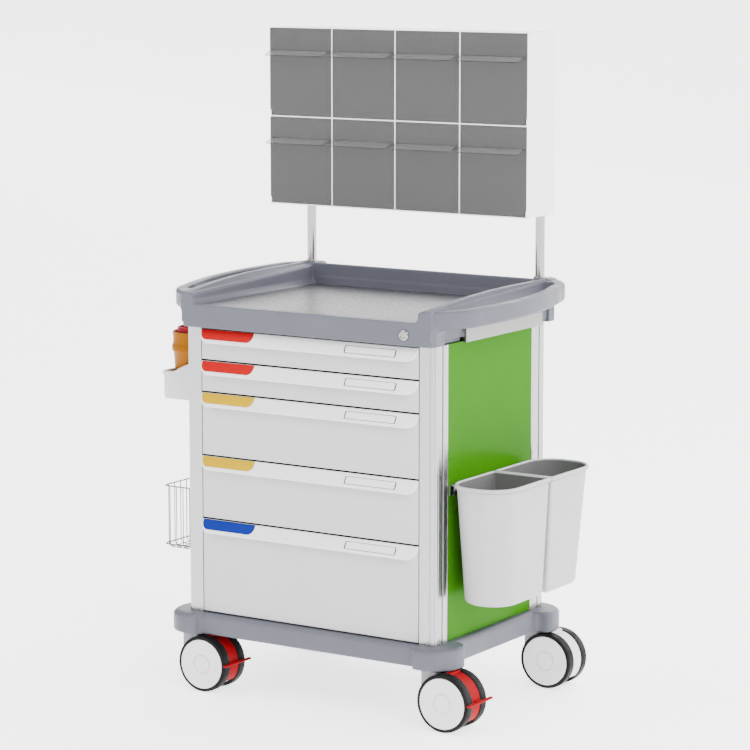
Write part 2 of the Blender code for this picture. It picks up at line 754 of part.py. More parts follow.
def make_lock(frame, body_made, barrel_made, bar_made):
    centre = (LOCK_X, SKIRT_BOTTOM + LOCK_DROP)
    face = -WORKTOP_FRONT
    back = face + SKIRT_WALL + 0.002
    flange = face - TOUCH
    profile = [
        (BARREL_RADIUS + TOUCH, flange - LOCK_FLANGE_THICKNESS),
        (LOCK_FLANGE, flange - LOCK_FLANGE_THICKNESS),
        (LOCK_FLANGE, flange),
        (LOCK_RADIUS, flange),
        (LOCK_RADIUS, back),
        (BARREL_RADIUS + TOUCH, back),
    ]
    add("lock_body", turned(profile, 20, "Y", centre, closed=True), body_made, frame)
    key = pivot("key_axis", frame, (centre[0], 0.0, centre[1]))
    cam_front = FRONT_THICKNESS + SLIDE + BAR_THICKNESS + SLIDE
    barrel = rod(BARREL_RADIUS, flange - 0.002, cam_front + CAM_THICKNESS + TOUCH, 20, "Y")
    obj = add("key_barrel", barrel, barrel_made, key)
    cam = rounded((0.0, -CAM_HALF_WIDTH), (CAM_LENGTH, CAM_HALF_WIDTH), (0, 0.003, 0.003, 0), 3)
    join(obj, prism(cam, cam_front, cam_front + CAM_THICKNESS, "Y"))
    keyway_low = (-KEYWAY_HALF_WIDTH, flange - 0.010, -KEYWAY_HALF_HEIGHT)
    cut(obj, block(keyway_low, (KEYWAY_HALF_WIDTH, flange + 0.002, KEYWAY_HALF_HEIGHT)))
    bar_x = BOX_HALF + SLIDE
    bar_y = FRONT_THICKNESS + SLIDE
    low = (bar_x, bar_y, PLINTH_TOP + 0.020)
    high = (bar_x + BAR_WIDTH, bar_y + BAR_THICKNESS, SKIRT_BOTTOM + LOCK_DROP / 2)
    slide = pivot("lock_bar_slide", frame, (0.0, 0.0, 0.0))
    add("lock_bar", block(low, high), bar_made, slide)


# Side shelf


def shelf_top():
    return SKIRT_BOTTOM - 0.0025 + SHELF_STRIP_HEIGHT


def make_shelf(frame, made):
    """A board that slides out of the right side of the worktop, with a flat strip as its front."""
    slide = pivot("side_shelf_slide", frame, (0.0, 0.0, 0.0))
    strip_x = COLUMN_OUTER + SLIDE
    low = (strip_x, SHELF_START, shelf_top() - SHELF_STRIP_HEIGHT)
    high = (strip_x + SHELF_STRIP_THICKNESS, SHELF_START + SHELF_WIDTH, shelf_top())
    shelf = add("side_shelf", block(low, high), made, slide)
    margin = 0.012
    board_top = shelf_top() - 0.005
    board_low = (strip_x - SHELF_LENGTH, SHELF_START + margin, board_top - SHELF_BOARD)
    board_high = (strip_x + SHELF_STRIP_THICKNESS / 2, SHELF_START + SHELF_WIDTH - margin, board_top)
    join(shelf, block(board_low, board_high))


# Rack


def make_posts(frame, made):
    for side, across in (("left", -POST_X), ("right", POST_X)):
        post = rod(POST_RADIUS, WALL_TOP - POST_SINK, RACK_BOTTOM - TOUCH, 20, centre=(across, POST_Y))
        add(f"rack_post_{side}", post, made, frame)


def rack_cells():
    """The clear space of each cell, seen from the front: the name of its bin and its two corners."""
    pitch_x = (2 * RACK_HALF_WIDTH - RACK_WALL) / RACK_COLUMNS
    pitch_z = (RACK_HEIGHT - RACK_WALL) / RACK_ROWS
    cells = []
    for row in range(RACK_ROWS):
        for column in range(RACK_COLUMNS):
            x = -RACK_HALF_WIDTH + RACK_WALL + column * pitch_x
            z = RACK_BOTTOM + RACK_WALL + (RACK_ROWS - 1 - row) * pitch_z
            number = row * RACK_COLUMNS + column + 1
            cells.append((f"tilt_bin_{number}", (x, z), (x + pitch_x - RACK_WALL, z + pitch_z - RACK_WALL)))
    return cells


def make_rack(frame, made):
    """A grid of thin walls, open at the front, with a board closing its back."""
    back = RACK_FRONT + RACK_DEPTH - RACK_BACK
    low = (-RACK_HALF_WIDTH, RACK_FRONT, RACK_BOTTOM)
    high = (RACK_HALF_WIDTH, back - TOUCH, RACK_BOTTOM + RACK_HEIGHT)
    housing = add("rack_housing", block(low, high), made, frame)
    holes = bmesh.new()
    for _, cell_low, cell_high in rack_cells():
        hole_low = (cell_low[0], low[1] - 0.010, cell_low[1])
        block(hole_low, (cell_high[0], back + 0.010, cell_high[1]), into=holes)
    cut(housing, holes)
    add("rack_back", block((low[0], back, low[2]), (high[0], RACK_FRONT + RACK_DEPTH, high[2])), made, frame)


def tilt_bin(name, low, high, frame, made):
    """A tipping bin, hinged along its lower front edge, with a full-height front and a lip to pull."""
    half = (high[0] - low[0]) / 2 - SLIDE
    base = -BIN_HINGE_LIFT + SLIDE
    top = high[1] - low[1] - BIN_HINGE_LIFT - SLIDE
    face = -BIN_WALL / 2
    outer = rounded((-half, face), (half, face + BIN_DEPTH), (0, 0, 0.010, 0.010), 3)
    inner_low = (-half + BIN_WALL, face + BIN_WALL)
    inner = rounded(inner_low, (half - BIN_WALL, face + BIN_DEPTH - BIN_WALL), (0, 0, 0.008, 0.008), 3)
    rim = base + BIN_BACK_HEIGHT
    tray = vessel([lift(outer, base), lift(outer, rim)], [lift(inner, rim), lift(inner, base + BIN_WALL)])
    place = ((low[0] + high[0]) / 2, RACK_FRONT - face, low[1] + BIN_HINGE_LIFT)
    obj = add(name, tray, made, frame, place)
    join(obj, block((-half, face, rim - 0.010), (half, face + BIN_WALL, top)))
    lip_top = top + SLIDE - BIN_LIP_DROP
    lip_half = half - BIN_LIP_SIDE_GAP
    lip_low = (-lip_half, face - BIN_LIP_REACH, lip_top - BIN_WALL)
    join(obj, block(lip_low, (lip_half, face + BIN_WALL / 2, lip_top)))


# Right side: waste bins


def waste_outline(grow, drop, front):
    """One bin in plan, at a drop below its rim. The front one has its round end forward."""
    share = drop / WASTE_HEIGHT
    inner = WASTE_INNER + WASTE_TAPER / 2 * share - grow
    outer = WASTE_OUTER - WASTE_TAPER * share + grow
    round_end = WASTE_FRONT + WASTE_END_TAPER * share - grow
    flat_end = WASTE_FRONT + WASTE_LENGTH - WASTE_TAPER / 3 * share + grow
    corner = WASTE_CORNER + grow
    small = WASTE_SPLIT_CORNER + grow
    outline = rounded((inner, round_end), (outer, flat_end), (corner, corner, small, small), 5)
    return outline if front else mirrored(outline, WASTE_FRONT + WASTE_LENGTH + WASTE_SPLIT / 2)


def make_waste_bins(frame, made):
    base = WASTE_RIM_HEIGHT - WASTE_HEIGHT
    rim_drop = 0.007
    for name, front in (("waste_bin_front", True), ("waste_bin_rear", False)):
        outer = [
            lift(waste_outline(0.0, WASTE_HEIGHT, front), base),
            lift(waste_outline(0.0, rim_drop, front), WASTE_RIM_HEIGHT - rim_drop),
            lift(waste_outline(WASTE_RIM, rim_drop, front), WASTE_RIM_HEIGHT - rim_drop + 0.001),
            lift(waste_outline(WASTE_RIM, 0.0, front), WASTE_RIM_HEIGHT - 0.002),
            lift(waste_outline(WASTE_RIM / 2, 0.0, front), WASTE_RIM_HEIGHT),
        ]
        floor_drop = WASTE_HEIGHT - WASTE_WALL
        inner = [
            lift(waste_outline(-WASTE_WALL, 0.0, front), WASTE_RIM_HEIGHT),
            lift(waste_outline(-WASTE_WALL, floor_drop, front), base + WASTE_WALL),
        ]
        body = pivot(f"{name}_lift", frame, (0.0, 0.0, 0.0))
        add(name, vessel(outer, inner), made, body)


def make_waste_bracket(frame, made):
    """The rail on the side panel that both bins' rims hang over."""
    start = WASTE_FRONT + WASTE_CORNER / 2 + RAIL_INSET
    end = WASTE_FRONT + 2 * WASTE_LENGTH + WASTE_SPLIT - WASTE_CORNER / 2 - RAIL_INSET
    top = WASTE_RIM_HEIGHT - 0.007 - TOUCH
    low = (PANEL_FACE + TOUCH, start, top - RAIL_HEIGHT)
    add("waste_bin_bracket", block(low, (PANEL_FACE + RAIL_DEPTH, end, top)), made, frame)


# Left side: sharps holder, sharps container and wire basket


def jar_centre():
    inner = PANEL_FACE + TOUCH
    wide = JAR_NECK_RADIUS + 2 * SLIDE + HOLDER_WALL
    return (-(HOLDER_REACH - wide), HOLDER_START + wide, inner)


def make_sharps_holder(frame, made):
    """An open cup that hangs on the left panel. Its rim is high at the panel and low outside."""
    x, y, inner = jar_centre()
    end = 2 * y - HOLDER_START
    top = HOLDER_BASE + HOLDER_INNER_HEIGHT
    corners = (HOLDER_CORNER, 0, 0, HOLDER_CORNER)
    outer = rounded((-HOLDER_REACH, HOLDER_START), (-inner, end), corners, 4)
    wall = HOLDER_WALL
    tight = (HOLDER_CORNER - wall, 0, 0, HOLDER_CORNER - wall)
    hollow = rounded((-HOLDER_REACH + wall, HOLDER_START + wall), (-inner - wall, end - wall), tight, 4)
    rings_out = [lift(outer, HOLDER_BASE), lift(outer, top)]
    cup = vessel(rings_out, [lift(hollow, top), lift(hollow, HOLDER_BASE + wall)])
    holder = add("sharps_holder", cup, made, frame)
    low = HOLDER_BASE + HOLDER_OUTER_HEIGHT
    out = -HOLDER_REACH - 0.010
    foot = -inner - wall - SLIDE
    over = top + 0.020
    slope = [(out, low), (-HOLDER_REACH + HOLDER_FLAT, low), (foot, top - 0.004), (foot, over), (out, over)]
    cut(holder, prism(slope, HOLDER_START - 0.010, end + 0.010, "Y"))


def make_sharps_container(frame, jar_made, lid_made):
    x, y, _ = jar_centre()
    body = pivot("sharps_container_lift", frame, (x, y, HOLDER_BASE + HOLDER_WALL + TOUCH))
    ring_low = JAR_HEIGHT - JAR_RING_DROP - JAR_RING_HEIGHT
    ring_high = JAR_HEIGHT - JAR_RING_DROP
    outer = [
        (JAR_BASE_RADIUS, 0.0),
        (JAR_NECK_RADIUS, ring_low - 0.006),
        (JAR_RING_RADIUS, ring_low),
        (JAR_RING_RADIUS, ring_high),
        (JAR_TOP_RADIUS + 0.001, ring_high + 0.004),
        (JAR_TOP_RADIUS, JAR_HEIGHT),
    ]
    inner = [(JAR_TOP_RADIUS - JAR_WALL, JAR_HEIGHT), (JAR_BASE_RADIUS - JAR_WALL, JAR_WALL)]
    ledge = [(JAR_TOP_RADIUS - JAR_WALL, JAR_HEIGHT - 0.006), (LID_RADIUS - 0.004, JAR_HEIGHT - 0.006)]
    ledge += [(LID_RADIUS - 0.004, JAR_HEIGHT - 0.009), (JAR_NECK_RADIUS - JAR_WALL, JAR_HEIGHT - 0.014)]
    jar = turned(outer + inner[:1] + ledge + inner[1:], JAR_FACETS)
    add("sharps_container", jar, jar_made, body)
    seat = JAR_HEIGHT - 0.006 + TOUCH
    knob = LID_RADIUS * 0.55
    cap = [(LID_RADIUS, seat), (LID_RADIUS, seat + LID_SKIRT), (LID_RADIUS - 0.004, seat + LID_HEIGHT)]
    cap += [(knob, seat + LID_HEIGHT), (knob, seat + LID_HEIGHT + 0.004)]
    lid = add("sharps_lid", turned(cap, JAR_FACETS), lid_made, body)
    cut(lid, rod(LID_HOLE, -0.01, JAR_HEIGHT + 0.10, 12, centre=(0.009, 0.0)))


def hoop(low, high, bottom, into):
    """A closed wire round the basket."""
    corner = 4 * WIRE
    outer = rounded(low, high, (corner,) * 4, 3)
    inner_low = (low[0] + WIRE, low[1] + WIRE)
    inner = rounded(inner_low, (high[0] - WIRE, high[1] - WIRE), (corner - WIRE,) * 4, 3)
    top = bottom + WIRE
    rings = [lift(outer, bottom), lift(outer, top), lift(inner, top), lift(inner, bottom)]
    return loft(rings, closed=True, into=into)


def make_basket(frame, made):
    """A wire basket on two small feet: hoops and floor wires, welded to upright wires just inside them."""
    radius = WIRE / 2
    low = (-HOLDER_REACH, BASKET_START)
    high = (-(PANEL_FACE + BASKET_STAND_OFF), BASKET_START + BASKET_LENGTH)
    base = BASKET_TOP - BASKET_HEIGHT
    inset = 1.2 * WIRE
    level = bmesh.new()
    for bottom in (BASKET_TOP - WIRE, BASKET_TOP - BASKET_HEIGHT / 2, base + 2 * WIRE):
        hoop(low, high, bottom, level)
    upright = bmesh.new()
    top = BASKET_TOP - SLIDE
    for number in range(BASKET_LONG_WIRES):
        margin = 5 * WIRE
        along = low[1] + margin + (BASKET_LENGTH - 2 * margin) * number / (BASKET_LONG_WIRES - 1)
        for across in (low[0] + inset, high[0] - inset):
            rod(radius, base + SLIDE, top, WIRE_SIDES, "Z", (across, along), upright)
        ends = (low[0] + inset - radius, high[0] - inset + radius)
        rod(radius, *ends, WIRE_SIDES, "X", (along, base + radius), level)
    for number in range(BASKET_SHORT_WIRES):
        share = (number + 1) / (BASKET_SHORT_WIRES + 1)
        across = low[0] + (high[0] - low[0]) * share
        for along in (low[1] + inset, high[1] - inset):
            rod(radius, base + 2 * WIRE, top, WIRE_SIDES, "Z", (across, along), upright)
    for along in (low[1] + BASKET_FOOT_INSET, high[1] - BASKET_FOOT_INSET):
        foot_low = (high[0] - WIRE / 2, along - 0.008, BASKET_TOP - 0.022)
        block(foot_low, (-PANEL_FACE - TOUCH, along + 0.008, BASKET_TOP - SLIDE), into=upright)
    basket = add("wire_basket", level, made, frame)
    join(basket, upright)


# Casters, about the middle of the axle


def fork_outline():
    """The fork from the side: a neck under the swivel that runs into a round body about the axle."""
    top = PLINTH_BOTTOM - WHEEL_RADIUS - PLATE_THICKNESS / 2
    left = -TRAIL - NECK_RADIUS
    right = -TRAIL + NECK_RADIUS
    body = HOOD_INNER - 2 * SLIDE
    points = [(left, top), (left, -0.016)]
    points += arc((0.0, 0.0), body, 205, 415, 14)
    return points + [(right, body), (right, top)]


def hood_solids(inner):
    """The arched cover between the two wheels, and the upright tab on top of it."""
    half = FORK_HALF - SLIDE
    band = arc((0.0, 0.0), HOOD_OUTER, HOOD_LOW, HOOD_HIGH, 10)
    band += arc((0.0, 0.0), inner, HOOD_HIGH, HOOD_LOW, 10)
    tab_top = PLINTH_BOTTOM - WHEEL_RADIUS - 2 * SLIDE
    tab = block((-0.004, -half, HOOD_OUTER - 0.008), (0.010, half, tab_top))
    return prism(band, -half, half, "Y"), tab


def make_fork(name, made, swivel, hooded):
    fork = add(name, prism(fork_outline(), -FORK_HALF, FORK_HALF, "Y"), made, swivel, (TRAIL, 0.0, 0.0))
    plate_top = PLINTH_BOTTOM - WHEEL_RADIUS - TOUCH
    join(fork, rod(NECK_RADIUS + 0.0015, plate_top - PLATE_THICKNESS, plate_top, 20, centre=(-TRAIL, 0.0)))
    if hooded:
        for piece in hood_solids(HOOD_INNER - 4 * SLIDE):
            join(fork, piece)
    cut(fork, rod(AXLE_RADIUS + TOUCH, -WHEEL_GAP, WHEEL_GAP, 16, "Y"))


def make_wheels(name, made, swivel):
    """Both wheels of one caster and the axle that joins them through the fork."""
    near = WHEEL_GAP / 2
    far = WHEEL_PAIR_WIDTH / 2
    rim = WHEEL_RADIUS - TYRE_THICKNESS
    crown = TYRE_CROWN
    half = [(AXLE_RADIUS, near), (WHEEL_RADIUS - crown, near), (WHEEL_RADIUS, near + 2 * crown)]
    half += [(WHEEL_RADIUS, far - 3 * crown), (WHEEL_RADIUS - crown, far - crown), (rim, far)]
    profile = [(radius, -along) for radius, along in reversed(half)] + half
    axle = pivot(f"{name}_axle", swivel, (TRAIL, 0.0, 0.0))
    add(f"{name}_wheels", turned(profile, WHEEL_FACETS, "Y"), made, axle)


def make_pedal(name, made, swivel):
    """The brake: the hood turns about the axle when its cross bar is pressed down."""
    axle = pivot(f"{name}_pedal_axis", swivel, (TRAIL, 0.0, 0.0))
    hood, tab = hood_solids(HOOD_INNER)
    pedal = add(f"{name}_pedal", hood, made, axle)
    join(pedal, tab)
    inner = WHEEL_RADIUS + 2 * SLIDE
    join(pedal, block((HOOD_OUTER - 0.006, -0.008, 0.001), (inner + 0.004, 0.008, 0.009)))
    bar = rounded((inner, -PEDAL_LENGTH / 2), (PEDAL_REACH, PEDAL_LENGTH / 2), (0.004,) * 4, 3)
    join(pedal, prism(bar, 0.003, 0.0075))


def make_casters(frame, grey, rubber, red):
    for end, along in (("front", -SWIVEL_Y), ("rear", SWIVEL_Y)):
        for side, across in (("left", -SWIVEL_X), ("right", SWIVEL_X)):
            name = f"caster_{end}_{side}"
            swivel = pivot(f"{name}_swivel", frame, (across, CABINET_MIDDLE + along, WHEEL_RADIUS))
            make_fork(f"{name}_fork", grey, swivel, end == "rear")
            make_wheels(name, rubber, swivel)
            if end == "front":
                make_pedal(name, red, swivel)


def main():
    clear_scene()
    grey = material("grey_plastic", (0.28, 0.285, 0.33), 0.45)
    white = material("white_plastic", (0.75, 0.75, 0.75), 0.4)
    green = material("green_laminate", (0.2, 0.44, 0.06), 0.15)
    aluminium = material("satin_aluminium", (0.62, 0.62, 0.63), 0.3, 1.0)
    steel = material("sheet_steel", (0.55, 0.56, 0.58), 0.35, 1.0)
    stainless = material("stainless_steel", (0.6, 0.58, 0.56), 0.18, 1.0)
    smoke = material("smoke_plastic", (0.12, 0.12, 0.12), 0.1)
    rubber = material("black_rubber", (0.01, 0.01, 0.01), 0.6)
    red = material("red_plastic", (0.55, 0.02, 0.025), 0.35)
    yellow = material("yellow_plastic", (0.75, 0.55, 0.01), 0.35)
    blue = material("blue_plastic", (0.03, 0.09, 0.42), 0.35)
    orange = material("orange_plastic", (0.7, 0.32, 0.01), 0.35)

    frame = pivot("trolley", None, (SHIFT_X, SHIFT_Y, 0.0))
    make_plinth(frame, grey)
    make_columns(frame, aluminium)
    make_panels(frame, green, white)
    make_drawers(frame, white, steel, (red, red, yellow, yellow, blue))
    make_runners(frame, steel)
    make_worktop(frame, grey)
    make_deck(frame, steel)
    make_lock(frame, stainless, stainless, steel)
    make_shelf(frame, aluminium)
    make_posts(frame, stainless)
    make_rack(frame, white)
    for name, low, high in rack_cells():
        tilt_bin(name, low, high, frame, smoke)
    make_waste_bins(frame, white)
    make_waste_bracket(frame, aluminium)
    make_sharps_holder(frame, white)
    make_sharps_container(frame, orange, red)
    make_basket(frame, stainless)
    make_casters(frame, grey, rubber, red)


main()
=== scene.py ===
"""A hospital treatment trolley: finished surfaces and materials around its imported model.

Every piece is laid out from the cabinet's middle plane, its front face and the floor, and then moved to where the
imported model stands. Sizes that a user may change are in the property groups, and places come from the model.
"""

import math

import bmesh
import bpy
import numpy as np
from bpy.props import FloatProperty, FloatVectorProperty, IntProperty, PointerProperty
from mathutils import Matrix, Vector


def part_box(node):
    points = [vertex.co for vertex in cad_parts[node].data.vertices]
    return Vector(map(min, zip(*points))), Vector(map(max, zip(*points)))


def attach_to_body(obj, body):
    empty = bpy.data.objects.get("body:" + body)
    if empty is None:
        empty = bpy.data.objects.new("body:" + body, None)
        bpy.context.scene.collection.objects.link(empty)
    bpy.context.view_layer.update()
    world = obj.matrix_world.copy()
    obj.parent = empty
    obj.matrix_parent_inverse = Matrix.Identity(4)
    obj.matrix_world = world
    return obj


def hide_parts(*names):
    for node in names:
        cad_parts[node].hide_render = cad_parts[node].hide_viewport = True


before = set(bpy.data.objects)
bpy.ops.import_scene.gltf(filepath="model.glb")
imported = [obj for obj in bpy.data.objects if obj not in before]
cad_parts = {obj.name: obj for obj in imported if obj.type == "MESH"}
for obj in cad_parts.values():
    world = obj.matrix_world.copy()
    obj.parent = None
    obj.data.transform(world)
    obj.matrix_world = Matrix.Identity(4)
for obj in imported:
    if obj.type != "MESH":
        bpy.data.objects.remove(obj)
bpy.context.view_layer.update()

bl_info = {
    "name": "Treatment Trolley",
    "version": (1, 0, 0),
    "blender": (4, 5, 0),
    "location": "View3D > Sidebar > Trolley",
    "description": "Builds the finished pieces of a hospital treatment trolley",
    "category": "Object",
}

SIDES = (("left", -1), ("right", 1))
DRAWERS = range(1, 6)
TILT_BINS = range(1, 9)
TAB_COLOURS = ("red", "red", "yellow", "yellow", "blue")

rack_low, rack_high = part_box("rack_housing")
SHIFT = Vector(((rack_low.x + rack_high.x) / 2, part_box("front_column_right")[0].y, 0.0))


def place(node):
    """A node's lowest and highest corner, from the cabinet's middle plane, its front face and the floor."""
    low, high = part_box(node)
    return low - SHIFT, high - SHIFT


# Properties


def length(name, description, default):
    return FloatProperty(name=name, description=description, default=default, min=0.0, unit="LENGTH", precision=4)


def colour(name, description, default):
    return FloatVectorProperty(name=name, description=description, default=default, size=3, min=0, max=1,
                               subtype="COLOR")


class TrolleyColours(bpy.types.PropertyGroup):
    """Colours of the trolley's finishes"""

    shell: colour("Shell", "Moulded plinth, worktop and handles", (0.088, 0.090, 0.113))
    front: colour("Fronts", "Drawer fronts", (0.48, 0.48, 0.48))
    panel: colour("Panels", "Lacquered side panels", (0.030, 0.145, 0.003))
    red: colour("Red", "Tabs of the upper drawers", (0.36, 0.006, 0.008))
    yellow: colour("Yellow", "Tabs of the middle drawers", (0.46, 0.29, 0.0))
    blue: colour("Blue", "Tab of the lowest drawer", (0.010, 0.021, 0.19))
    smoke: colour("Smoke", "Tint of the tilting bins", (0.064, 0.064, 0.064))
    jar: colour("Container", "Sharps container", (0.26, 0.085, 0.0006))
    lid: colour("Lid", "Sharps container's lid", (0.26, 0.006, 0.016))
    brake: colour("Brakes", "Brake hoods and pedals", (0.23, 0.003, 0.006))


class WorktopSizes(bpy.types.PropertyGroup):
    """Sizes of the worktop"""

    corner: length("Corner", "Radius of the skirt's upright corners", 0.020)
    lean: length("Lean", "How far the tray's side walls lean outwards", 0.028)
    wall_base: length("Wall base", "Half the width of the tray's floor", 0.2815)
    edge: length("Edge", "Rounding of the handle's edges", 0.007)
    fillet: length("Fillet", "Rounding where the handle meets the skirt", 0.016)
    cell: length("Cell", "Size of the mesh at the rounded edges", 0.0028)


class DrawerSizes(bpy.types.PropertyGroup):
    """Sizes of the drawer fronts"""

    edge: length("Edge", "Rounding of the front's edges", 0.0012)
    pull_edge: length("Pull edge", "Rounding of the pull's lower edge", 0.0024)
    corner: length("Pull corner", "Radius of the pull's lower corners", 0.024)
    tab_corner: length("Tab corner", "Radius of the coloured tab's lower corners", 0.016)


class RackSizes(bpy.types.PropertyGroup):
    """Sizes of the rack"""

    edge: length("Edge", "Rounding of the housing's edges", 0.0008)
    collar: length("Collar", "Radius of the collars on the posts", 0.0145)


class BasketSizes(bpy.types.PropertyGroup):
    """Sizes of the wire basket"""

    rim_radius: length("Rim radius", "Radius of the rim's wire", 0.0016)
    wire_radius: length("Wire radius", "Radius of the thin wires", 0.0011)
    corner: length("Corner", "Radius of the basket's upright corners", 0.014)
    long_wires: IntProperty(name="Long wires", description="Wires across each long side", default=13, min=2)
    short_wires: IntProperty(name="Short wires", description="Wires across each short side", default=6, min=2)
    bulge: length("Bulge", "How far the outer side stands past the modelled one", 0.009)


class CasterSizes(bpy.types.PropertyGroup):
    """Sizes of the casters"""

    tread: length("Tread", "Thickness of the tyre over the disc", 0.0078)
    ring: length("Ring", "Radius of the thin ring on each disc", 0.0205)
    facets: IntProperty(name="Facets", description="Facets round each wheel", default=96, min=24)
    bar_radius: length("Bar radius", "Radius of the pedal's bar", 0.0021)


class StageSettings(bpy.types.PropertyGroup):
    """Camera and lights"""

    lens: FloatProperty(name="Lens", description="Focal length in millimetres", default=141.95, min=1.0)
    camera: FloatVectorProperty(name="Camera", description="Where the camera stands, from the cabinet's front",
                                default=(3.4989, -5.1573, 1.6836), size=3, subtype="TRANSLATION")
    target: FloatVectorProperty(name="Target", description="What the camera looks at",
                                default=(0.0415, 0.2, 0.7044), size=3, subtype="TRANSLATION")
    key: FloatProperty(name="Key light", description="Power of the key light", default=190.0, min=0.0)
    fill: FloatProperty(name="Fill light", description="Power of the fill light", default=60.0, min=0.0)
    sky: FloatProperty(name="Sky", description="Strength of the light from all round", default=2.3, min=0.0)
    glow: FloatProperty(name="Glow", description="Light that the floor and backdrop give off", default=2.2, min=0.0)


# Outlines in a plane


def arc(centre, radius, start, end, steps):
    """Points on an arc, angles in degrees."""
    turns = [math.radians(start + (end - start) * step / steps) for step in range(steps + 1)]
    return [(centre[0] + radius * math.cos(turn), centre[1] + radius * math.sin(turn)) for turn in turns]


def rounded(low, high, radii, steps=6):
    """A rectangle from low to high, with one radius for each corner, anticlockwise from low."""
    corners = [(low[0], low[1]), (high[0], low[1]), (high[0], high[1]), (low[0], high[1])]
    inward = [(1, 1), (-1, 1), (-1, -1), (1, -1)]
    points = []
    for turn in range(4):
        radius = radii[turn]
        if radius <= 0:
            points.append(corners[turn])
            continue
        centre = tuple(corners[turn][axis] + inward[turn][axis] * radius for axis in range(2))
        points += arc(centre, radius, 180 + 90 * turn, 270 + 90 * turn, steps)
    return points


def bend(start, corner, end, steps):
    """Points on a smooth bend from start to end that turns at the corner."""
    points = []
    for step in range(steps + 1):
        t = step / steps
        weights = ((1 - t) ** 2, 2 * t * (1 - t), t * t)
        points.append(tuple(sum(w * p[axis] for w, p in zip(weights, (start, corner, end))) for axis in range(2)))
    return points


def mirrored(points, about):
    """The same outline on the other side of the line where the second coordinate is about."""
    return [(across, 2 * about - along) for across, along in reversed(points)]


# Solids as bmeshes


def lift(outline, height, axis="Z"):
    """An outline as a ring of points in space, at one height along an axis."""
    if axis == "X":
        return [(height, a, b) for a, b in outline]
    if axis == "Y":
        return [(a, height, b) for a, b in outline]
    return [(a, b, height) for a, b in outline]


def loft(rings, closed=False, into=None):
    """A closed solid through a row of rings, capped at both ends, or run round on itself."""
    solid = into or bmesh.new()
    rows = [[solid.verts.new(point) for point in ring] for ring in rings]
    pairs = list(zip(rows, rows[1:]))
    if closed:
        pairs.append((rows[-1], rows[0]))
    faces = []
    for first, second in pairs:
        for index in range(len(first)):
            after = (index + 1) % len(first)
            faces.append(solid.faces.new((first[index], first[after], second[after], second[index])))
    if not closed:
        faces.append(solid.faces.new(list(reversed(rows[0]))))
        faces.append(solid.faces.new(rows[-1]))
    bmesh.ops.recalc_face_normals(solid, faces=faces)
    return solid


def prism(outline, low, high, axis="Z", into=None):
    return loft([lift(outline, low, axis), lift(outline, high, axis)], into=into)


def block(low, high, into=None):
    return prism(rounded(low[:2], high[:2], (0, 0, 0, 0)), low[2], high[2], into=into)


def turned(profile, count, axis="Z", centre=(0.0, 0.0), closed=False, into=None):
    """A solid turned about an axis, from (radius, height) pairs."""
    rings = [lift(arc(centre, radius, 0, 360 - 360 / count, count - 1), height, axis) for radius, height in profile]
    return loft(rings, closed, into)


# Pieces


def link(name, mesh):
    obj = bpy.data.objects.new(name, mesh)
    bpy.context.scene.collection.objects.link(obj)
    return obj


def piece(name, solid, finishes, body, replaces=(), sharp=40.0, bevel=0.0, segments=3):
    """A finished piece: its mesh shaded and put in place, riding on its body."""
    mesh = bpy.data.meshes.new(name)
    solid.to_mesh(mesh)
    solid.free()
    mesh.transform(Matrix.Translation(SHIFT))
    for made in finishes if isinstance(finishes, (list, tuple)) else [finishes]:
        mesh.materials.append(made)
    mesh.shade_smooth()
    if bevel <= 0:
        mesh.set_sharp_from_angle(angle=math.radians(sharp))
    obj = link(name, mesh)
    if bevel > 0:
        modifier = obj.modifiers.new("Rounded edges", "BEVEL")
        modifier.width = bevel
        modifier.segments = segments
        modifier.limit_method = "ANGLE"
        modifier.angle_limit = math.radians(sharp)
        modifier.harden_normals = True
    return attach(obj, body, replaces)


def attach(obj, body, replaces=()):
    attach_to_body(obj, body)
    if replaces:
        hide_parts(*replaces)
    return obj


def carve(solid, tools):
    """A bmesh with closed tools cut out of it."""
    mesh = bpy.data.meshes.new("carved")
    solid.to_mesh(mesh)
    solid.free()
    obj = link("carved", mesh)
    helpers = []
    for tool in tools:
        helper_mesh = bpy.data.meshes.new("tool")
        tool.to_mesh(helper_mesh)
        tool.free()
        helper = link("tool", helper_mesh)
        helpers.append(helper)
        modifier = obj.modifiers.new("cut", "BOOLEAN")
        modifier.operation = "DIFFERENCE"
        modifier.solver = "EXACT"
        modifier.object = helper
    result = bmesh.new()
    result.from_mesh(evaluated_mesh(obj))
    for used in [obj, *helpers]:
        bpy.data.objects.remove(used, do_unlink=True)
    return result


def evaluated_mesh(obj):
    graph = bpy.context.evaluated_depsgraph_get()
    return bpy.data.meshes.new_from_object(obj.evaluated_get(graph), depsgraph=graph)


# Surfaces of a field of distances


def slab(value, low, high):
    return np.abs(value - (low + high) / 2) - (high - low) / 2


def plate(a, b, low, high, corner):
    """Distance to a rectangle with rounded corners, in a plane."""
    da = slab(a, low[0], high[0]) + corner
    db = slab(b, low[1], high[1]) + corner
    return np.hypot(np.maximum(da, 0), np.maximum(db, 0)) + np.minimum(np.maximum(da, db), 0) - corner


def meet(a, b, radius):
    """What two shapes share, with its new edge rounded."""
    return np.minimum(np.maximum(a, b), -radius) + np.hypot(np.maximum(a + radius, 0), np.maximum(b + radius, 0))


def merge(a, b, radius):
    """Two shapes together, with a fillet between them."""
    return -meet(-a, -b, radius)


def remove(a, b, radius):
    """The first shape without the second, with the new edge rounded."""
    return meet(a, -b, radius)


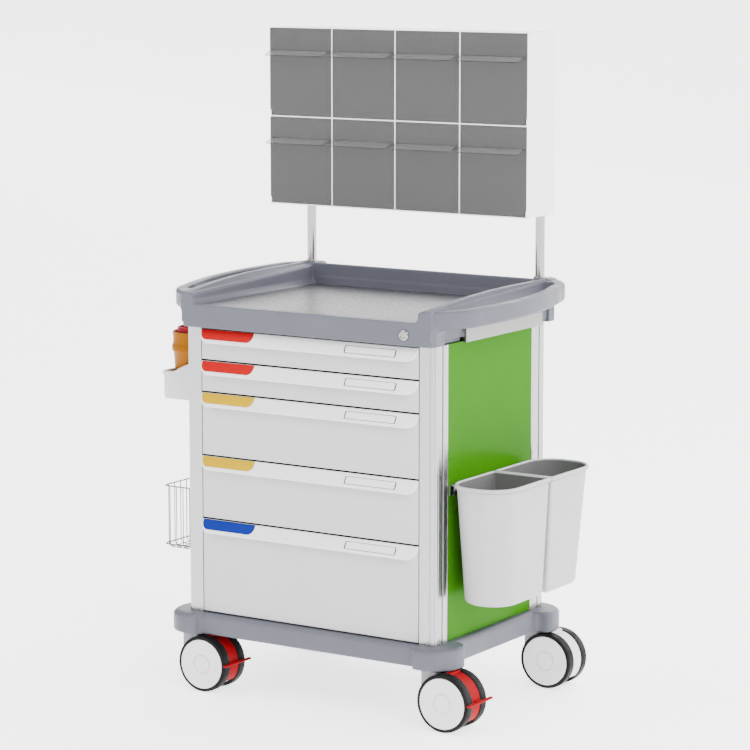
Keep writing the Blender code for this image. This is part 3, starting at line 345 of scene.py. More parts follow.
def outline_distance(points, x, y):
    """Distance to a closed outline in a plane, negative inside it."""
    shape = np.broadcast_shapes(x.shape, y.shape)
    best = np.full(shape, 1e9)
    inside = np.zeros(shape, bool)
    for (ax, ay), (bx, by) in zip(points, points[1:] + points[:1]):
        ex, ey = bx - ax, by - ay
        share = np.clip(((x - ax) * ex + (y - ay) * ey) / (ex * ex + ey * ey), 0, 1)
        best = np.minimum(best, (x - ax - ex * share) ** 2 + (y - ay - ey * share) ** 2)
        if ey:
            inside ^= ((ay > y) != (by > y)) & (x < ex * (y - ay) / ey + ax)
    return np.where(inside, -1, 1) * np.sqrt(best)


def steps(stops):
    """Grid lines between stops, each given with the step that leads up to it."""
    lines = [stops[0][0]]
    for (start, _), (end, step) in zip(stops, stops[1:]):
        count = max(1, round((end - start) / step))
        lines += [start + (end - start) * (index + 1) / count for index in range(count)]
    return np.array(lines)


def field_normals(field, points):
    """The field's slope at each point, and its value there."""
    reach = 0.0003
    slope = np.empty_like(points)
    for axis in range(3):
        ahead, behind = points.copy(), points.copy()
        ahead[:, axis] += reach
        behind[:, axis] -= reach
        slope[:, axis] = (field(*ahead.T) - field(*behind.T)) / (2 * reach)
    size = np.linalg.norm(slope, axis=1, keepdims=True)
    return slope / np.maximum(size, 1e-6), field(*points.T)[:, None] / np.maximum(size, 0.2)


def field_piece(name, field, xs, ys, zs, finish, body, replaces=()):
    """The zero surface of a field of distances: one point in each grid cell that it crosses, joined by quads."""
    values = field(xs[:, None, None], ys[None, :, None], zs[None, None, :])
    values = np.broadcast_to(values, (len(xs), len(ys), len(zs)))
    inside = values < 0
    cells = tuple(count - 1 for count in values.shape)
    total = np.zeros(cells + (3,))
    hits = np.zeros(cells)
    lines = (xs, ys, zs)
    for axis in range(3):
        others = [other for other in range(3) if other != axis]
        for first in (0, 1):
            for second in (0, 1):
                start = [0, 0, 0]
                start[others[0]], start[others[1]] = first, second
                end = list(start)
                end[axis] = 1
                near = tuple(slice(start[a], start[a] + cells[a]) for a in range(3))
                far = tuple(slice(end[a], end[a] + cells[a]) for a in range(3))
                crosses = inside[near] != inside[far]
                gap = np.where(crosses, values[near] - values[far], 1.0)
                share = np.where(crosses, values[near] / gap, 0.0)
                for a in range(3):
                    spot = lines[a][start[a]:start[a] + cells[a]].reshape([-1 if b == a else 1 for b in range(3)])
                    if a == axis:
                        step = np.diff(lines[a]).reshape(spot.shape)
                        total[..., a] += np.where(crosses, spot + step * share, 0.0)
                    else:
                        total[..., a] += np.where(crosses, spot, 0.0)
                hits += crosses
    used = hits > 0
    number = np.full(cells, -1)
    number[used] = np.arange(used.sum())
    points = total[used] / hits[used][:, None]
    for _ in range(3):
        normals, gap = field_normals(field, points)
        points -= normals * np.clip(gap, -0.001, 0.001)
    normals, _ = field_normals(field, points)
    quads = []
    for axis in range(3):
        others = [other for other in range(3) if other != axis]
        core = [slice(1, -1)] * 3
        core[axis] = slice(0, cells[axis])
        ahead = list(core)
        ahead[axis] = slice(1, cells[axis] + 1)
        start, end = inside[tuple(core)], inside[tuple(ahead)]
        for leaving, order in ((start & ~end, (0, 1, 2, 3)), (~start & end, (3, 2, 1, 0))):
            where = np.argwhere(leaving)
            where[:, others] += 1
            ring = []
            for shift in ((1, 1), (0, 1), (0, 0), (1, 0)):
                cell = where.copy()
                cell[:, others[0]] -= shift[0]
                cell[:, others[1]] -= shift[1]
                ring.append(number[cell[:, 0], cell[:, 1], cell[:, 2]])
            turn = order if axis != 1 else order[::-1]
            quads.append(np.stack([ring[index] for index in turn], axis=1))
    faces = np.concatenate(quads)
    mesh = bpy.data.meshes.new(name)
    mesh.from_pydata((points + np.array(SHIFT)).tolist(), [], faces.tolist())
    mesh.shade_smooth()
    mesh.materials.append(finish)
    mesh.normals_split_custom_set_from_vertices(normals.tolist())
    return attach(link(name, mesh), body, replaces)


# Finishes


class Finish:
    """A material built node by node, its patterns laid on the piece's own coordinates."""

    def __init__(self, name, base, roughness, metallic=0.0):
        self.material = bpy.data.materials.new(name)
        self.material.use_nodes = True
        self.nodes = self.material.node_tree.nodes
        self.links = self.material.node_tree.links
        self.shader = self.nodes["Principled BSDF"]
        self.base = base
        self.set("Base Color", (*base, 1.0))
        self.set("Roughness", roughness)
        self.set("Metallic", metallic)
        self.height = None

    def set(self, socket, value):
        self.shader.inputs[socket].default_value = value
        return self

    def noise(self, scale, detail=3.0, stretch=(1.0, 1.0, 1.0)):
        """A noise pattern's output, stretched along the piece's axes."""
        coordinates = self.nodes.new("ShaderNodeTexCoord")
        mapping = self.nodes.new("ShaderNodeMapping")
        mapping.inputs["Scale"].default_value = stretch
        pattern = self.nodes.new("ShaderNodeTexNoise")
        pattern.inputs["Scale"].default_value = scale
        pattern.inputs["Detail"].default_value = detail
        self.links.new(coordinates.outputs["Object"], mapping.inputs["Vector"])
        self.links.new(mapping.outputs["Vector"], pattern.inputs["Vector"])
        return pattern.outputs["Fac"]

    def spread(self, source, low, high, start=0.35, end=0.65):
        """A pattern's values moved to run from low to high."""
        scaled = self.nodes.new("ShaderNodeMapRange")
        for socket, value in (("From Min", start), ("From Max", end), ("To Min", low), ("To Max", high)):
            scaled.inputs[socket].default_value = value
        self.links.new(source, scaled.inputs["Value"])
        return scaled.outputs["Result"]

    def mottle(self, source, amount):
        """The base colour varied a little, lighter and darker."""
        mix = self.nodes.new("ShaderNodeMix")
        mix.data_type = "RGBA"
        mix.inputs["A"].default_value = (*[channel * (1 - amount) for channel in self.base], 1.0)
        mix.inputs["B"].default_value = (*[min(1.0, channel * (1 + amount)) for channel in self.base], 1.0)
        self.links.new(self.spread(source, 0.0, 1.0), mix.inputs["Factor"])
        self.links.new(mix.outputs["Result"], self.shader.inputs["Base Color"])
        return self

    def gloss(self, source, low, high):
        """The roughness varied between two values."""
        self.links.new(self.spread(source, low, high), self.shader.inputs["Roughness"])
        return self

    def bump(self, source, distance, strength=1.0):
        """A fine relief of a real height in metres."""
        bump = self.nodes.new("ShaderNodeBump")
        bump.inputs["Distance"].default_value = distance
        bump.inputs["Strength"].default_value = strength
        self.links.new(source, bump.inputs["Height"])
        if self.height is not None:
            self.links.new(self.height, bump.inputs["Normal"])
        self.height = bump.outputs["Normal"]
        self.links.new(self.height, self.shader.inputs["Normal"])
        return self


def moulded(name, base, roughness, grain=1100.0, depth=0.00006, mottle=0.02, shine=0.22):
    """Moulded plastic: a fine spark grain, faint flow marks and uneven gloss."""
    made = Finish(name, base, roughness)
    made.set("Specular IOR Level", shine)
    made.mottle(made.noise(9.0), mottle)
    made.gloss(made.noise(26.0), roughness * 0.88, roughness * 1.14)
    made.bump(made.noise(grain, 2.0), depth)
    made.bump(made.noise(16.0, 1.0), 0.0004, 0.35)
    return made.material


def lacquer(name, base):
    """Sprayed gloss lacquer under a clear coat, with a trace of orange peel."""
    made = Finish(name, base, 0.22)
    made.mottle(made.noise(5.0), 0.03)
    made.bump(made.noise(160.0, 1.0), 0.00003, 0.5)
    made.set("Specular IOR Level", 0.02)
    return made.material


def drawn_metal(name, base, roughness, stretch, anisotropic=0.0, depth=0.00002):
    """Metal with drawing lines along one axis: lines are long where the pattern is stretched little."""
    made = Finish(name, base, roughness, 1.0)
    lines = made.noise(420.0, 4.0, stretch)
    made.mottle(lines, 0.03)
    made.gloss(lines, roughness * 0.82, roughness * 1.2)
    made.bump(lines, depth)
    made.set("Anisotropic", anisotropic)
    return made.material


def speckled_steel(name):
    """The tray's sheet: bead-blasted steel with a coarse sparkle."""
    made = Finish(name, (0.135, 0.136, 0.147), 0.34, 0.85)
    coarse = made.noise(330.0, 2.0)
    made.mottle(coarse, 0.35)
    made.gloss(made.noise(120.0), 0.30, 0.44)
    made.bump(coarse, 0.00022)
    return made.material


def smoke_plastic(name, base, alpha, roughness=0.12):
    """Clear grey plastic, seen as a thin tinted sheet."""
    made = Finish(name, base, roughness)
    made.gloss(made.noise(12.0, 1.0), roughness * 0.95, roughness * 1.05)
    made.set("Specular IOR Level", 0.35)
    made.set("Alpha", alpha)
    return made.material


def tyre_rubber(name):
    """Dark thermoplastic rubber with a fine dull grain and scuffs."""
    made = Finish(name, (0.004, 0.004, 0.004), 0.55)
    made.set("Specular IOR Level", 0.12)
    made.mottle(made.noise(70.0), 0.25)
    made.gloss(made.noise(45.0), 0.42, 0.68)
    made.bump(made.noise(1500.0, 2.0), 0.00008)
    return made.material


def shadow_gap(name):
    """Near-black painted shade for slots and gaps: dark strips put where there is only shadow."""
    made = Finish(name, (0.002, 0.002, 0.002), 0.6)
    made.set("Specular IOR Level", 0.03)
    made.bump(made.noise(900.0, 2.0), 0.00005)
    return made.material


def finish(name):
    """The named finish, made when it is first asked for."""
    if name in bpy.data.materials:
        return bpy.data.materials[name]
    tints = bpy.context.scene.trolley_colours
    along_z = (1.0, 1.0, 0.02)
    builders = {
        "shell plastic": lambda: moulded(name, tints.shell, 0.40),
        "front plastic": lambda: moulded(name, tints.front, 0.34, 1400.0, 0.00003, 0.012),
        # painted light: the pull and the label cover are the fronts' plastic, given a lighter base so the
        # upward-sloping lip reads as lit from above
        "lit pull plastic": lambda: moulded(name, (0.76, 0.76, 0.76), 0.32, 1400.0, 0.00003, 0.01),
        # painted shade: darker plastic for the insides of the waste bins
        "bin shade": lambda: moulded(name, (0.11, 0.11, 0.11), 0.6, shine=0.05),
        # painted shade: dark grey for the label recess
        "groove shade": lambda: moulded(name, (0.10, 0.10, 0.10), 0.5),
        "white lacquer": lambda: lacquer(name, (0.72, 0.72, 0.715)),
        "green lacquer": lambda: lacquer(name, tints.panel),
        "red tab": lambda: moulded(name, tints.red, 0.34, 1400.0, 0.00003, shine=0.01),
        "yellow tab": lambda: moulded(name, tints.yellow, 0.34, 1400.0, 0.00003, shine=0.01),
        "blue tab": lambda: moulded(name, tints.blue, 0.34, 1400.0, 0.00003, shine=0.01),
        "satin aluminium": lambda: drawn_metal(name, (0.38, 0.38, 0.383), 0.26, along_z),
        "shelf aluminium": lambda: drawn_metal(name, (0.24, 0.238, 0.23), 0.36, (1.0, 0.02, 1.0)),
        "sheet steel": lambda: drawn_metal(name, (0.58, 0.59, 0.61), 0.34, (1.0, 0.03, 1.0)),
        "painted steel": lambda: lacquer(name, (0.62, 0.62, 0.625)),
        "polished steel": lambda: drawn_metal(name, (0.33, 0.32, 0.31), 0.12, (1.0, 1.0, 0.01)),
        "chromed wire": lambda: drawn_metal(name, (0.13, 0.127, 0.12), 0.24, (1.0, 1.0, 1.0)),
        "speckled steel": lambda: speckled_steel(name),
        "rack plastic": lambda: moulded(name, (0.86, 0.86, 0.855), 0.28, 1400.0, 0.00003, 0.01),
        "smoke plastic": lambda: smoke_plastic(name, tints.smoke, 0.84, 0.22),
        "clear plastic": lambda: smoke_plastic(name, tints.smoke, 0.45),
        "lip plastic": lambda: smoke_plastic(name, (0.30, 0.30, 0.30), 0.16),
        "smoke edge": lambda: smoke_plastic(name, (0.008, 0.008, 0.009), 0.95),
        "bin plastic": lambda: moulded(name, (0.40, 0.402, 0.402), 0.42),
        "holder plastic": lambda: moulded(name, (0.54, 0.54, 0.54), 0.36),
        "container plastic": lambda: moulded(name, tints.jar, 0.40, shine=0.06),
        "lid plastic": lambda: moulded(name, tints.lid, 0.36, shine=0.08),
        "wheel plastic": lambda: moulded(name, (0.70, 0.70, 0.70), 0.36, 1300.0, 0.00004),
        "caster plastic": lambda: moulded(name, (0.30, 0.305, 0.32), 0.42),
        "hood plastic": lambda: moulded(name, (0.66, 0.66, 0.665), 0.36),
        "brake plastic": lambda: moulded(name, tints.brake, 0.34, 1300.0, 0.00004, shine=0.02),
        "tyre rubber": lambda: tyre_rubber(name),
        "shadow gap": lambda: shadow_gap(name),
    }
    return builders[name]()


# Geometry Nodes


class Tree:
    """A geometry node group with named inputs, ending in Realize Instances and Set Material."""

    def __init__(self, name, inputs):
        self.group = bpy.data.node_groups.new(name, "GeometryNodeTree")
        self.sockets = {}
        self.socket("Geometry", "NodeSocketGeometry")
        for label, kind in inputs:
            self.sockets[label] = self.socket(label, kind).identifier
        self.group.interface.new_socket("Geometry", in_out="OUTPUT", socket_type="NodeSocketGeometry")
        self.source = self.node("NodeGroupInput")

    def socket(self, label, kind):
        return self.group.interface.new_socket(label, in_out="INPUT", socket_type=kind)

    def node(self, kind, **inputs):
        """A node whose inputs are values, or outputs of other nodes."""
        made = self.group.nodes.new(kind)
        for label, value in inputs.items():
            socket = made.inputs[label.replace("_", " ")]
            if isinstance(value, bpy.types.NodeSocket):
                self.group.links.new(value, socket)
            else:
                socket.default_value = value
        return made

    def close(self, geometry):
        realized = self.node("GeometryNodeRealizeInstances", Geometry=geometry)
        painted = self.node("GeometryNodeSetMaterial", Geometry=realized.outputs["Geometry"],
                            Material=self.source.outputs["Finish"])
        output = self.group.nodes.new("NodeGroupOutput")
        self.group.links.new(painted.outputs["Geometry"], output.inputs["Geometry"])
        return self

    def make(self, name, mesh, values, body, replaces=(), slot=None):
        """The tree's result on a mesh, as a plain piece."""
        source = link(f"{name}_path", mesh)
        modifier = source.modifiers.new("Nodes", "NODES")
        modifier.node_group = self.group
        for label, value in values.items():
            modifier[self.sockets[label]] = value
        result = evaluated_mesh(source)
        bpy.data.objects.remove(source, do_unlink=True)
        result.name = name
        return attach(link(name, result), body, replaces)


def wire_tree():
    """Round wire along every edge of the mesh it is given."""
    tree = Tree("Round wires", (("Wire radius", "NodeSocketFloat"), ("Sides", "NodeSocketInt"),
                                ("Finish", "NodeSocketMaterial")))
    paths = tree.node("GeometryNodeMeshToCurve", Mesh=tree.source.outputs["Geometry"])
    profile = tree.node("GeometryNodeCurvePrimitiveCircle", Resolution=tree.source.outputs["Sides"],
                        Radius=tree.source.outputs["Wire radius"])
    wires = tree.node("GeometryNodeCurveToMesh", Curve=paths.outputs["Curve"],
                      Profile_Curve=profile.outputs["Curve"], Fill_Caps=True)
    smooth = tree.node("GeometryNodeSetShadeSmooth", Geometry=wires.outputs["Mesh"])
    return tree.close(smooth.outputs["Geometry"])


def scatter_tree():
    """A copy of one object at every point of the mesh it is given, turned to face along the point's direction."""
    tree = Tree("Fasteners", (("Fastener", "NodeSocketObject"), ("Size", "NodeSocketFloat"),
                              ("Finish", "NodeSocketMaterial")))
    fastener = tree.node("GeometryNodeObjectInfo", Object=tree.source.outputs["Fastener"])
    facing = tree.node("GeometryNodeInputNamedAttribute", Name="facing")
    facing.data_type = "FLOAT_VECTOR"
    turn = tree.node("FunctionNodeAlignRotationToVector", Vector=facing.outputs["Attribute"])
    turn.axis = "Z"
    copies = tree.node("GeometryNodeInstanceOnPoints", Points=tree.source.outputs["Geometry"],
                       Instance=fastener.outputs["Geometry"], Rotation=turn.outputs["Rotation"],
                       Scale=tree.source.outputs["Size"])
    return tree.close(copies.outputs["Instances"])


def path_mesh(name, paths):
    """A mesh of edges along (points, closed) paths."""
    points = []
    edges = []
    for path, closed in paths:
        first = len(points)
        points += [Vector(point) + SHIFT for point in path]
        edges += [(first + index, first + index + 1) for index in range(len(path) - 1)]
        if closed:
            edges.append((len(points) - 1, first))
    mesh = bpy.data.meshes.new(name)
    mesh.from_pydata(points, edges, [])
    return mesh


def screws(name, places, facing, size=1.0):
    """Pan-head screws at some places, all facing one way."""
    mesh = bpy.data.meshes.new(name)
    mesh.from_pydata([Vector(spot) + SHIFT for spot in places], [], [])
    attribute = mesh.attributes.new("facing", "FLOAT_VECTOR", "POINT")
    attribute.data.foreach_set("vector", list(facing) * len(places))
    head = [(0.0044, 0.0), (0.0044, 0.0006), (0.0038, 0.0015), (0.0026, 0.0021), (0.0012, 0.0024)]
    cross = [block((-0.0018, -0.0004, 0.0013), (0.0018, 0.0004, 0.0040)),
             block((-0.0004, -0.0018, 0.0012), (0.0004, 0.0018, 0.0040))]
    solid = carve(turned(head, 20), cross)
    shape = bpy.data.meshes.new("screw")
    solid.to_mesh(shape)
    solid.free()
    shape.shade_smooth()
    shape.set_sharp_from_angle(angle=math.radians(30))
    screw = link("screw", shape)
    values = {"Fastener": screw, "Size": size, "Finish": finish("polished steel")}
    scatter_tree().make(name, mesh, values, "cabinet", slot="satin_aluminium")
    bpy.data.objects.remove(screw, do_unlink=True)


# Base and cabinet


def plinth_outline(inset):
    """The plinth in plan: a rectangle whose four corners swell out into bumpers."""
    low, high = place("base_plinth")
    bumper_radius = 0.062
    swell = 0.030
    side = high.x - 0.033 - inset
    out = high.x - inset
    lowest = low.y + inset
    front = lowest + 0.020
    centre = (out - bumper_radius, lowest + bumper_radius)
    start = centre[0] - 0.010
    end = centre[1] + 0.010
    turning = (start - swell / 2, (front + lowest) / 2)
    quarter = bend((start - swell, front), (turning[0], front), turning, 4)
    quarter += bend(turning, (turning[0] + 0.004, lowest), (start, lowest), 4)[1:]
    quarter += arc(centre, bumper_radius, -90, 0, 20)
    turning = ((out + side) / 2, end + swell / 2)
    quarter += bend((out, end), (out, turning[1]), turning, 4)
    quarter += bend(turning, (side, turning[1]), (side, end + swell), 4)[1:]
    right = quarter + mirrored(quarter, (low.y + high.y) / 2)
    return right + [(-across, along) for across, along in reversed(right)]


def make_plinth():
    low, high = place("base_plinth")
    foot = 0.005
    shoulder = 0.011
    rings = [lift(plinth_outline(inset), low.z + foot - foot * math.cos(math.asin(1 - inset / foot)))
             for inset in (foot, foot * 0.6, foot * 0.3, foot * 0.1, 0.0)]
    for step in range(8):
        angle = math.radians(90 * step / 7)
        inset = shoulder * (1 - math.cos(angle))
        rings.append(lift(plinth_outline(inset), high.z - shoulder + shoulder * math.sin(angle)))
    piece("plinth_shell", loft(rings), finish("shell plastic"), "cabinet", ["base_plinth"], sharp=50)


def column_outline():
    """The front right column in plan: a flat face, a fluted corner, a slot and a rounded side."""
    low, high = place("front_column_right")
    corner = 0.012
    slot = low.y + 0.0265
    slot_width = 0.0040
    points = [(low.x, low.y + 0.0006), (low.x + 0.0006, low.y), (high.x - corner - 0.0035, low.y)]
    groove = [(high.x - corner - 0.0030, low.y + 0.0009), (high.x - corner - 0.0012, low.y + 0.0009)]
    points += groove
    centre = (high.x - corner, low.y + corner)
    for start, end in ((-88, -52), (-42, -12)):
        points += arc(centre, corner, start, end, 6)
        if end < -20:
            points += arc(centre, corner - 0.0011, end + 2, end + 8, 2)
    points += arc(centre, corner - 0.0009, -9, -3, 2)
    points += [(high.x, low.y + corner + 0.001), (high.x, slot - 0.0005), (high.x - 0.0005, slot)]
    points += [(high.x - 0.006, slot), (high.x - 0.006, slot + slot_width), (high.x - 0.0005, slot + slot_width)]
    points += bend((high.x, slot + slot_width + 0.0006), (high.x, high.y - 0.004),
                   (high.x - 0.0035, high.y - 0.0004), 8)
    return points + [(high.x - 0.0045, high.y), (low.x, high.y)]


def make_columns():
    low, high = place("front_column_right")
    bottom, top = low.z, high.z
    slot = low.y + 0.0285
    front = column_outline()
    middle = (place("front_column_right")[0].y + place("rear_column_right")[1].y) / 2
    for end, right in (("front", front), ("rear", mirrored(front, middle))):
        for side, sign in SIDES:
            outline = right if sign > 0 else [(-across, along) for across, along in reversed(right)]
            piece(f"{end}_{side}_profile", prism(outline, bottom, top), finish("satin aluminium"), "cabinet",
                  [f"{end}_column_{side}"], sharp=28)
            along = slot if end == "front" else 2 * middle - slot
            inner, outer = sorted((sign * (high.x - 0.0058), sign * (high.x - 0.0026)))
            # a near-black strip at the bottom of the column's slot: painted shade, where the slot lies in shadow
            strip = block((inner, along - 0.0018, bottom + 0.001), (outer, along + 0.0018, top - 0.001))
            piece(f"{end}_{side}_slot_strip", strip, finish("shadow gap"), "cabinet")


def make_panels():
    for side, _ in SIDES:
        low, high = place(f"side_panel_{side}")
        piece(f"{side}_panel_board", block(low, high), finish("green lacquer"), "cabinet", [f"side_panel_{side}"],
              bevel=0.0006)
    low, high = place("rear_panel")
    piece("rear_board", block(low, high), finish("white lacquer"), "cabinet", ["rear_panel"],
          bevel=0.0008)
    edge = 0.022
    count = 5
    spots = []
    for index in range(count):
        height = low.z + edge + (high.z - low.z - 2 * edge) * index / (count - 1)
        spots += [(low.x + edge, high.y, height), (high.x - edge, high.y, height)]
    screws("rear_panel_screws", spots, (0.0, 1.0, 0.0))


def make_inside():
    """What shows when the drawers are open keeps its modelled shape, with its own finish."""
    for node, name in (("runner_frame_left", "sheet steel"), ("runner_frame_right", "sheet steel"),
                       ("lock_bar", "sheet steel")):
        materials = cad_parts[node].data.materials
        materials.clear()
        materials.append(finish(name))


def make_gap_shade():
    """Painted shade: dark strips put in the gaps round the drawer fronts, where there is only shadow."""
    gap_shade_strips = bmesh.new()
    slack = 0.0002
    fronts = [place(f"drawer_{number}_front") for number in DRAWERS]
    for above, below in zip(fronts, fronts[1:]):
        block((above[0].x, 0.0006, below[1].z + slack), (above[1].x, 0.0060, above[0].z - slack), into=gap_shade_strips)
    inner = place("front_column_right")[0].x
    for sign in (-1, 1):
        across = sorted((sign * (fronts[0][1].x + slack), sign * (inner - slack)))
        block((across[0], 0.0012, fronts[-1][0].z), (across[1], 0.0060, fronts[0][1].z), into=gap_shade_strips)
    piece("front_gap_seals", gap_shade_strips, finish("shadow gap"), "cabinet")


# Drawers


def pull_face(drop, low):
    """How far the pull's sloping face stands out, at a drop below the top of the front."""
    return -(0.0015 + (-low.y - 0.0015) * drop / 0.029)


def sloped(outline, top, low, offset):
    """A ring on the pull's sloping face, or parallel to it."""
    return [(across, pull_face(top - height, low) + offset, height) for across, height in outline]


def pull_outline(low, high, inset, radius):
    corner = max(radius - inset, 0.001)
    return rounded((low.x + inset, high.z - 0.029 + inset), (high.x - inset, high.z - inset * 0.3),
                   (corner, corner, 0.0008, 0.0008), 12)


def make_drawer_front(number, sizes):
    """A plate with rounded edges and a sloping pull along its top, recessed for the tab and the label."""
    low, high = place(f"drawer_{number}_front")
    piece(f"drawer_{number}_plate", block((low.x, 0.0, low.z), high), finish("front plastic"), f"drawer_{number}",
          [f"drawer_{number}_front"], bevel=sizes.edge)
    edge = sizes.pull_edge
    rings = [lift(pull_outline(low, high, 0.0, sizes.corner), 0.004, "Y")]
    rings.append(sloped(pull_outline(low, high, 0.0, sizes.corner), high.z, low, edge))
    for step in range(1, 6):
        angle = math.radians(90 * step / 5)
        inset = edge * (1 - math.cos(angle))
        rings.append(sloped(pull_outline(low, high, inset, sizes.corner), high.z, low, edge * (1 - math.sin(angle))))
    tab_low, tab_high = place(f"drawer_{number}_tab")
    margin = 0.0008
    tab = rounded((tab_low.x + margin, tab_low.z + margin), (tab_high.x - margin, high.z + 0.002),
                  (sizes.tab_corner, sizes.tab_corner, 0, 0), 12)
    label_high = (high.x - 0.050, high.z - 0.0065)
    label_low = (label_high[0] - 0.130, high.z - 0.0225)
    label = rounded(label_low, label_high, (0.003,) * 4, 5)
    grip_end = high.x - sizes.corner
    under = high.z - 0.029
    grip = [(low.y + 0.0035, under - 0.002), (0.0, under - 0.002), (0.0, high.z - 0.010), (-0.0045, high.z - 0.010)]
    tools = [
        loft([sloped(tab, high.z, low, -0.010), sloped(tab, high.z, low, 0.0020)]),
        loft([sloped(label, high.z, low, -0.010), sloped(label, high.z, low, 0.0016)]),
        prism(grip, -grip_end, grip_end, "X"),
    ]
    pull = carve(loft(rings), tools)
    # the pull's lighter finish is painted light on the sloping lip
    piece(f"drawer_{number}_pull", pull, finish("lit pull plastic"), f"drawer_{number}", sharp=32)
    card = rounded((label_low[0] + 0.0032, label_low[1] + 0.0013), (label_high[0] - 0.0036, label_high[1] - 0.0012),
                   (0.0016,) * 4, 4)
    cover = loft([sloped(card, high.z, low, 0.0012), sloped(card, high.z, low, 0.0002)])
    piece(f"drawer_{number}_label_cover", cover, finish("lit pull plastic"), f"drawer_{number}",
          bevel=0.0003)
    # a dark plate at the bottom of the label recess: painted shade that gives the label cover a thin dark outline
    floor = loft([sloped(label, high.z, low, 0.00155), sloped(label, high.z, low, 0.00135)])
    piece(f"drawer_{number}_label_groove", floor, finish("groove shade"), f"drawer_{number}")
    # near-black slits at the label holder's ends: painted shade in the card openings
    for end, across in (("left", label_low[0] + 0.0006), ("right", label_high[0] - 0.0022)):
        tall = 0.0010 if end == "left" else 0.0035
        hole = rounded((across, label_low[1] + tall), (across + 0.0016, label_high[1] - tall), (0.0006,) * 4, 3)
        slit_shade = loft([sloped(hole, high.z, low, 0.00125), sloped(hole, high.z, low, 0.0010)])
        piece(f"drawer_{number}_label_slit_{end}", slit_shade, finish("shadow gap"), f"drawer_{number}")


def make_tab(number, sizes):
    low, high = place(f"drawer_{number}_tab")
    top = place(f"drawer_{number}_front")[1].z
    front_low = place(f"drawer_{number}_front")[0]
    edge = 0.0007

    def ring(inset, offset):
        corner = sizes.tab_corner - inset
        edge_in = inset + 0.0012
        outline = rounded((low.x + edge_in, low.z + edge_in), (high.x - edge_in, top - 0.0004 - inset),
                          (corner, corner, 0.0008, 0.0008), 12)
        return sloped(outline, top, front_low, offset)

    rings = [ring(0.0, 0.0019), ring(0.0, edge - 0.0002), ring(edge * 0.3, -0.00005 + edge * 0.3 - 0.0002),
             ring(edge, -0.0002)]
    colour_name = TAB_COLOURS[number - 1]
    piece(f"drawer_{number}_colour_tab", loft(rings), finish(f"{colour_name} tab"), f"drawer_{number}",
          [f"drawer_{number}_tab"], sharp=50)


def make_drawer_tray(number):
    """The box behind a front: a folded tray with a turned-over rim."""
    low, high = place(f"drawer_{number}_box")
    wall = 0.0016
    corner = 0.004
    section = [(0.0, low.z), (0.0, high.z - 0.001), (0.0004, high.z - 0.0003), (0.001, high.z), (0.0045, high.z),
               (0.005, high.z - 0.0006), (0.005, high.z - 0.006), (wall + 0.0006, high.z - 0.0062),
               (wall, high.z - 0.007), (wall, low.z + wall + 0.002), (wall + 0.002, low.z + wall)]
    rings = [lift(rounded((low.x + inset, low.y + inset), (high.x - inset, high.y - inset), (corner,) * 4, 4), height)
             for inset, height in section]
    piece(f"drawer_{number}_tray", loft(rings), finish("painted steel"), f"drawer_{number}", [f"drawer_{number}_box"],
          sharp=35)


# Worktop


def handle_outline(rear):
    """The right handle's outer edge in plan, from the front of the worktop to its back."""
    front = place("worktop")[0].y
    reach = place("worktop")[1].x
    bow = 0.0235
    shoulder = reach - bow
    middle = (front + rear) / 2
    half = [(0.288, front), (0.300, front)]
    half += bend((0.305, front), (0.378, 0.012), (shoulder, 0.075), 14)
    for step in range(1, 9):
        away = 1 - step / 8
        half.append((reach - (reach - shoulder) * away * away, middle - (middle - 0.075) * away))
    return half + mirrored(half[:-1], middle)


def handle_slot(rear):
    """The hand slot inside the handle: straight along the worktop, bowed along the bar."""
    front = place("worktop")[0].y
    reach = place("worktop")[1].x
    middle = (front + rear) / 2
    inner, start = 0.3205, 0.038
    bow, bar = 0.0235, 0.023
    shoulder = reach - bow - bar
    half = [(inner, start)]
    half += bend((inner + 0.012, start), (shoulder - 0.004, start), (shoulder, start + 0.055), 10)
    first = half[-1][1]
    for step in range(1, 9):
        away = 1 - step / 8
        half.append((shoulder + bow - bow * away * away, middle - (middle - first) * away))
    return half + mirrored(half[:-1], middle)


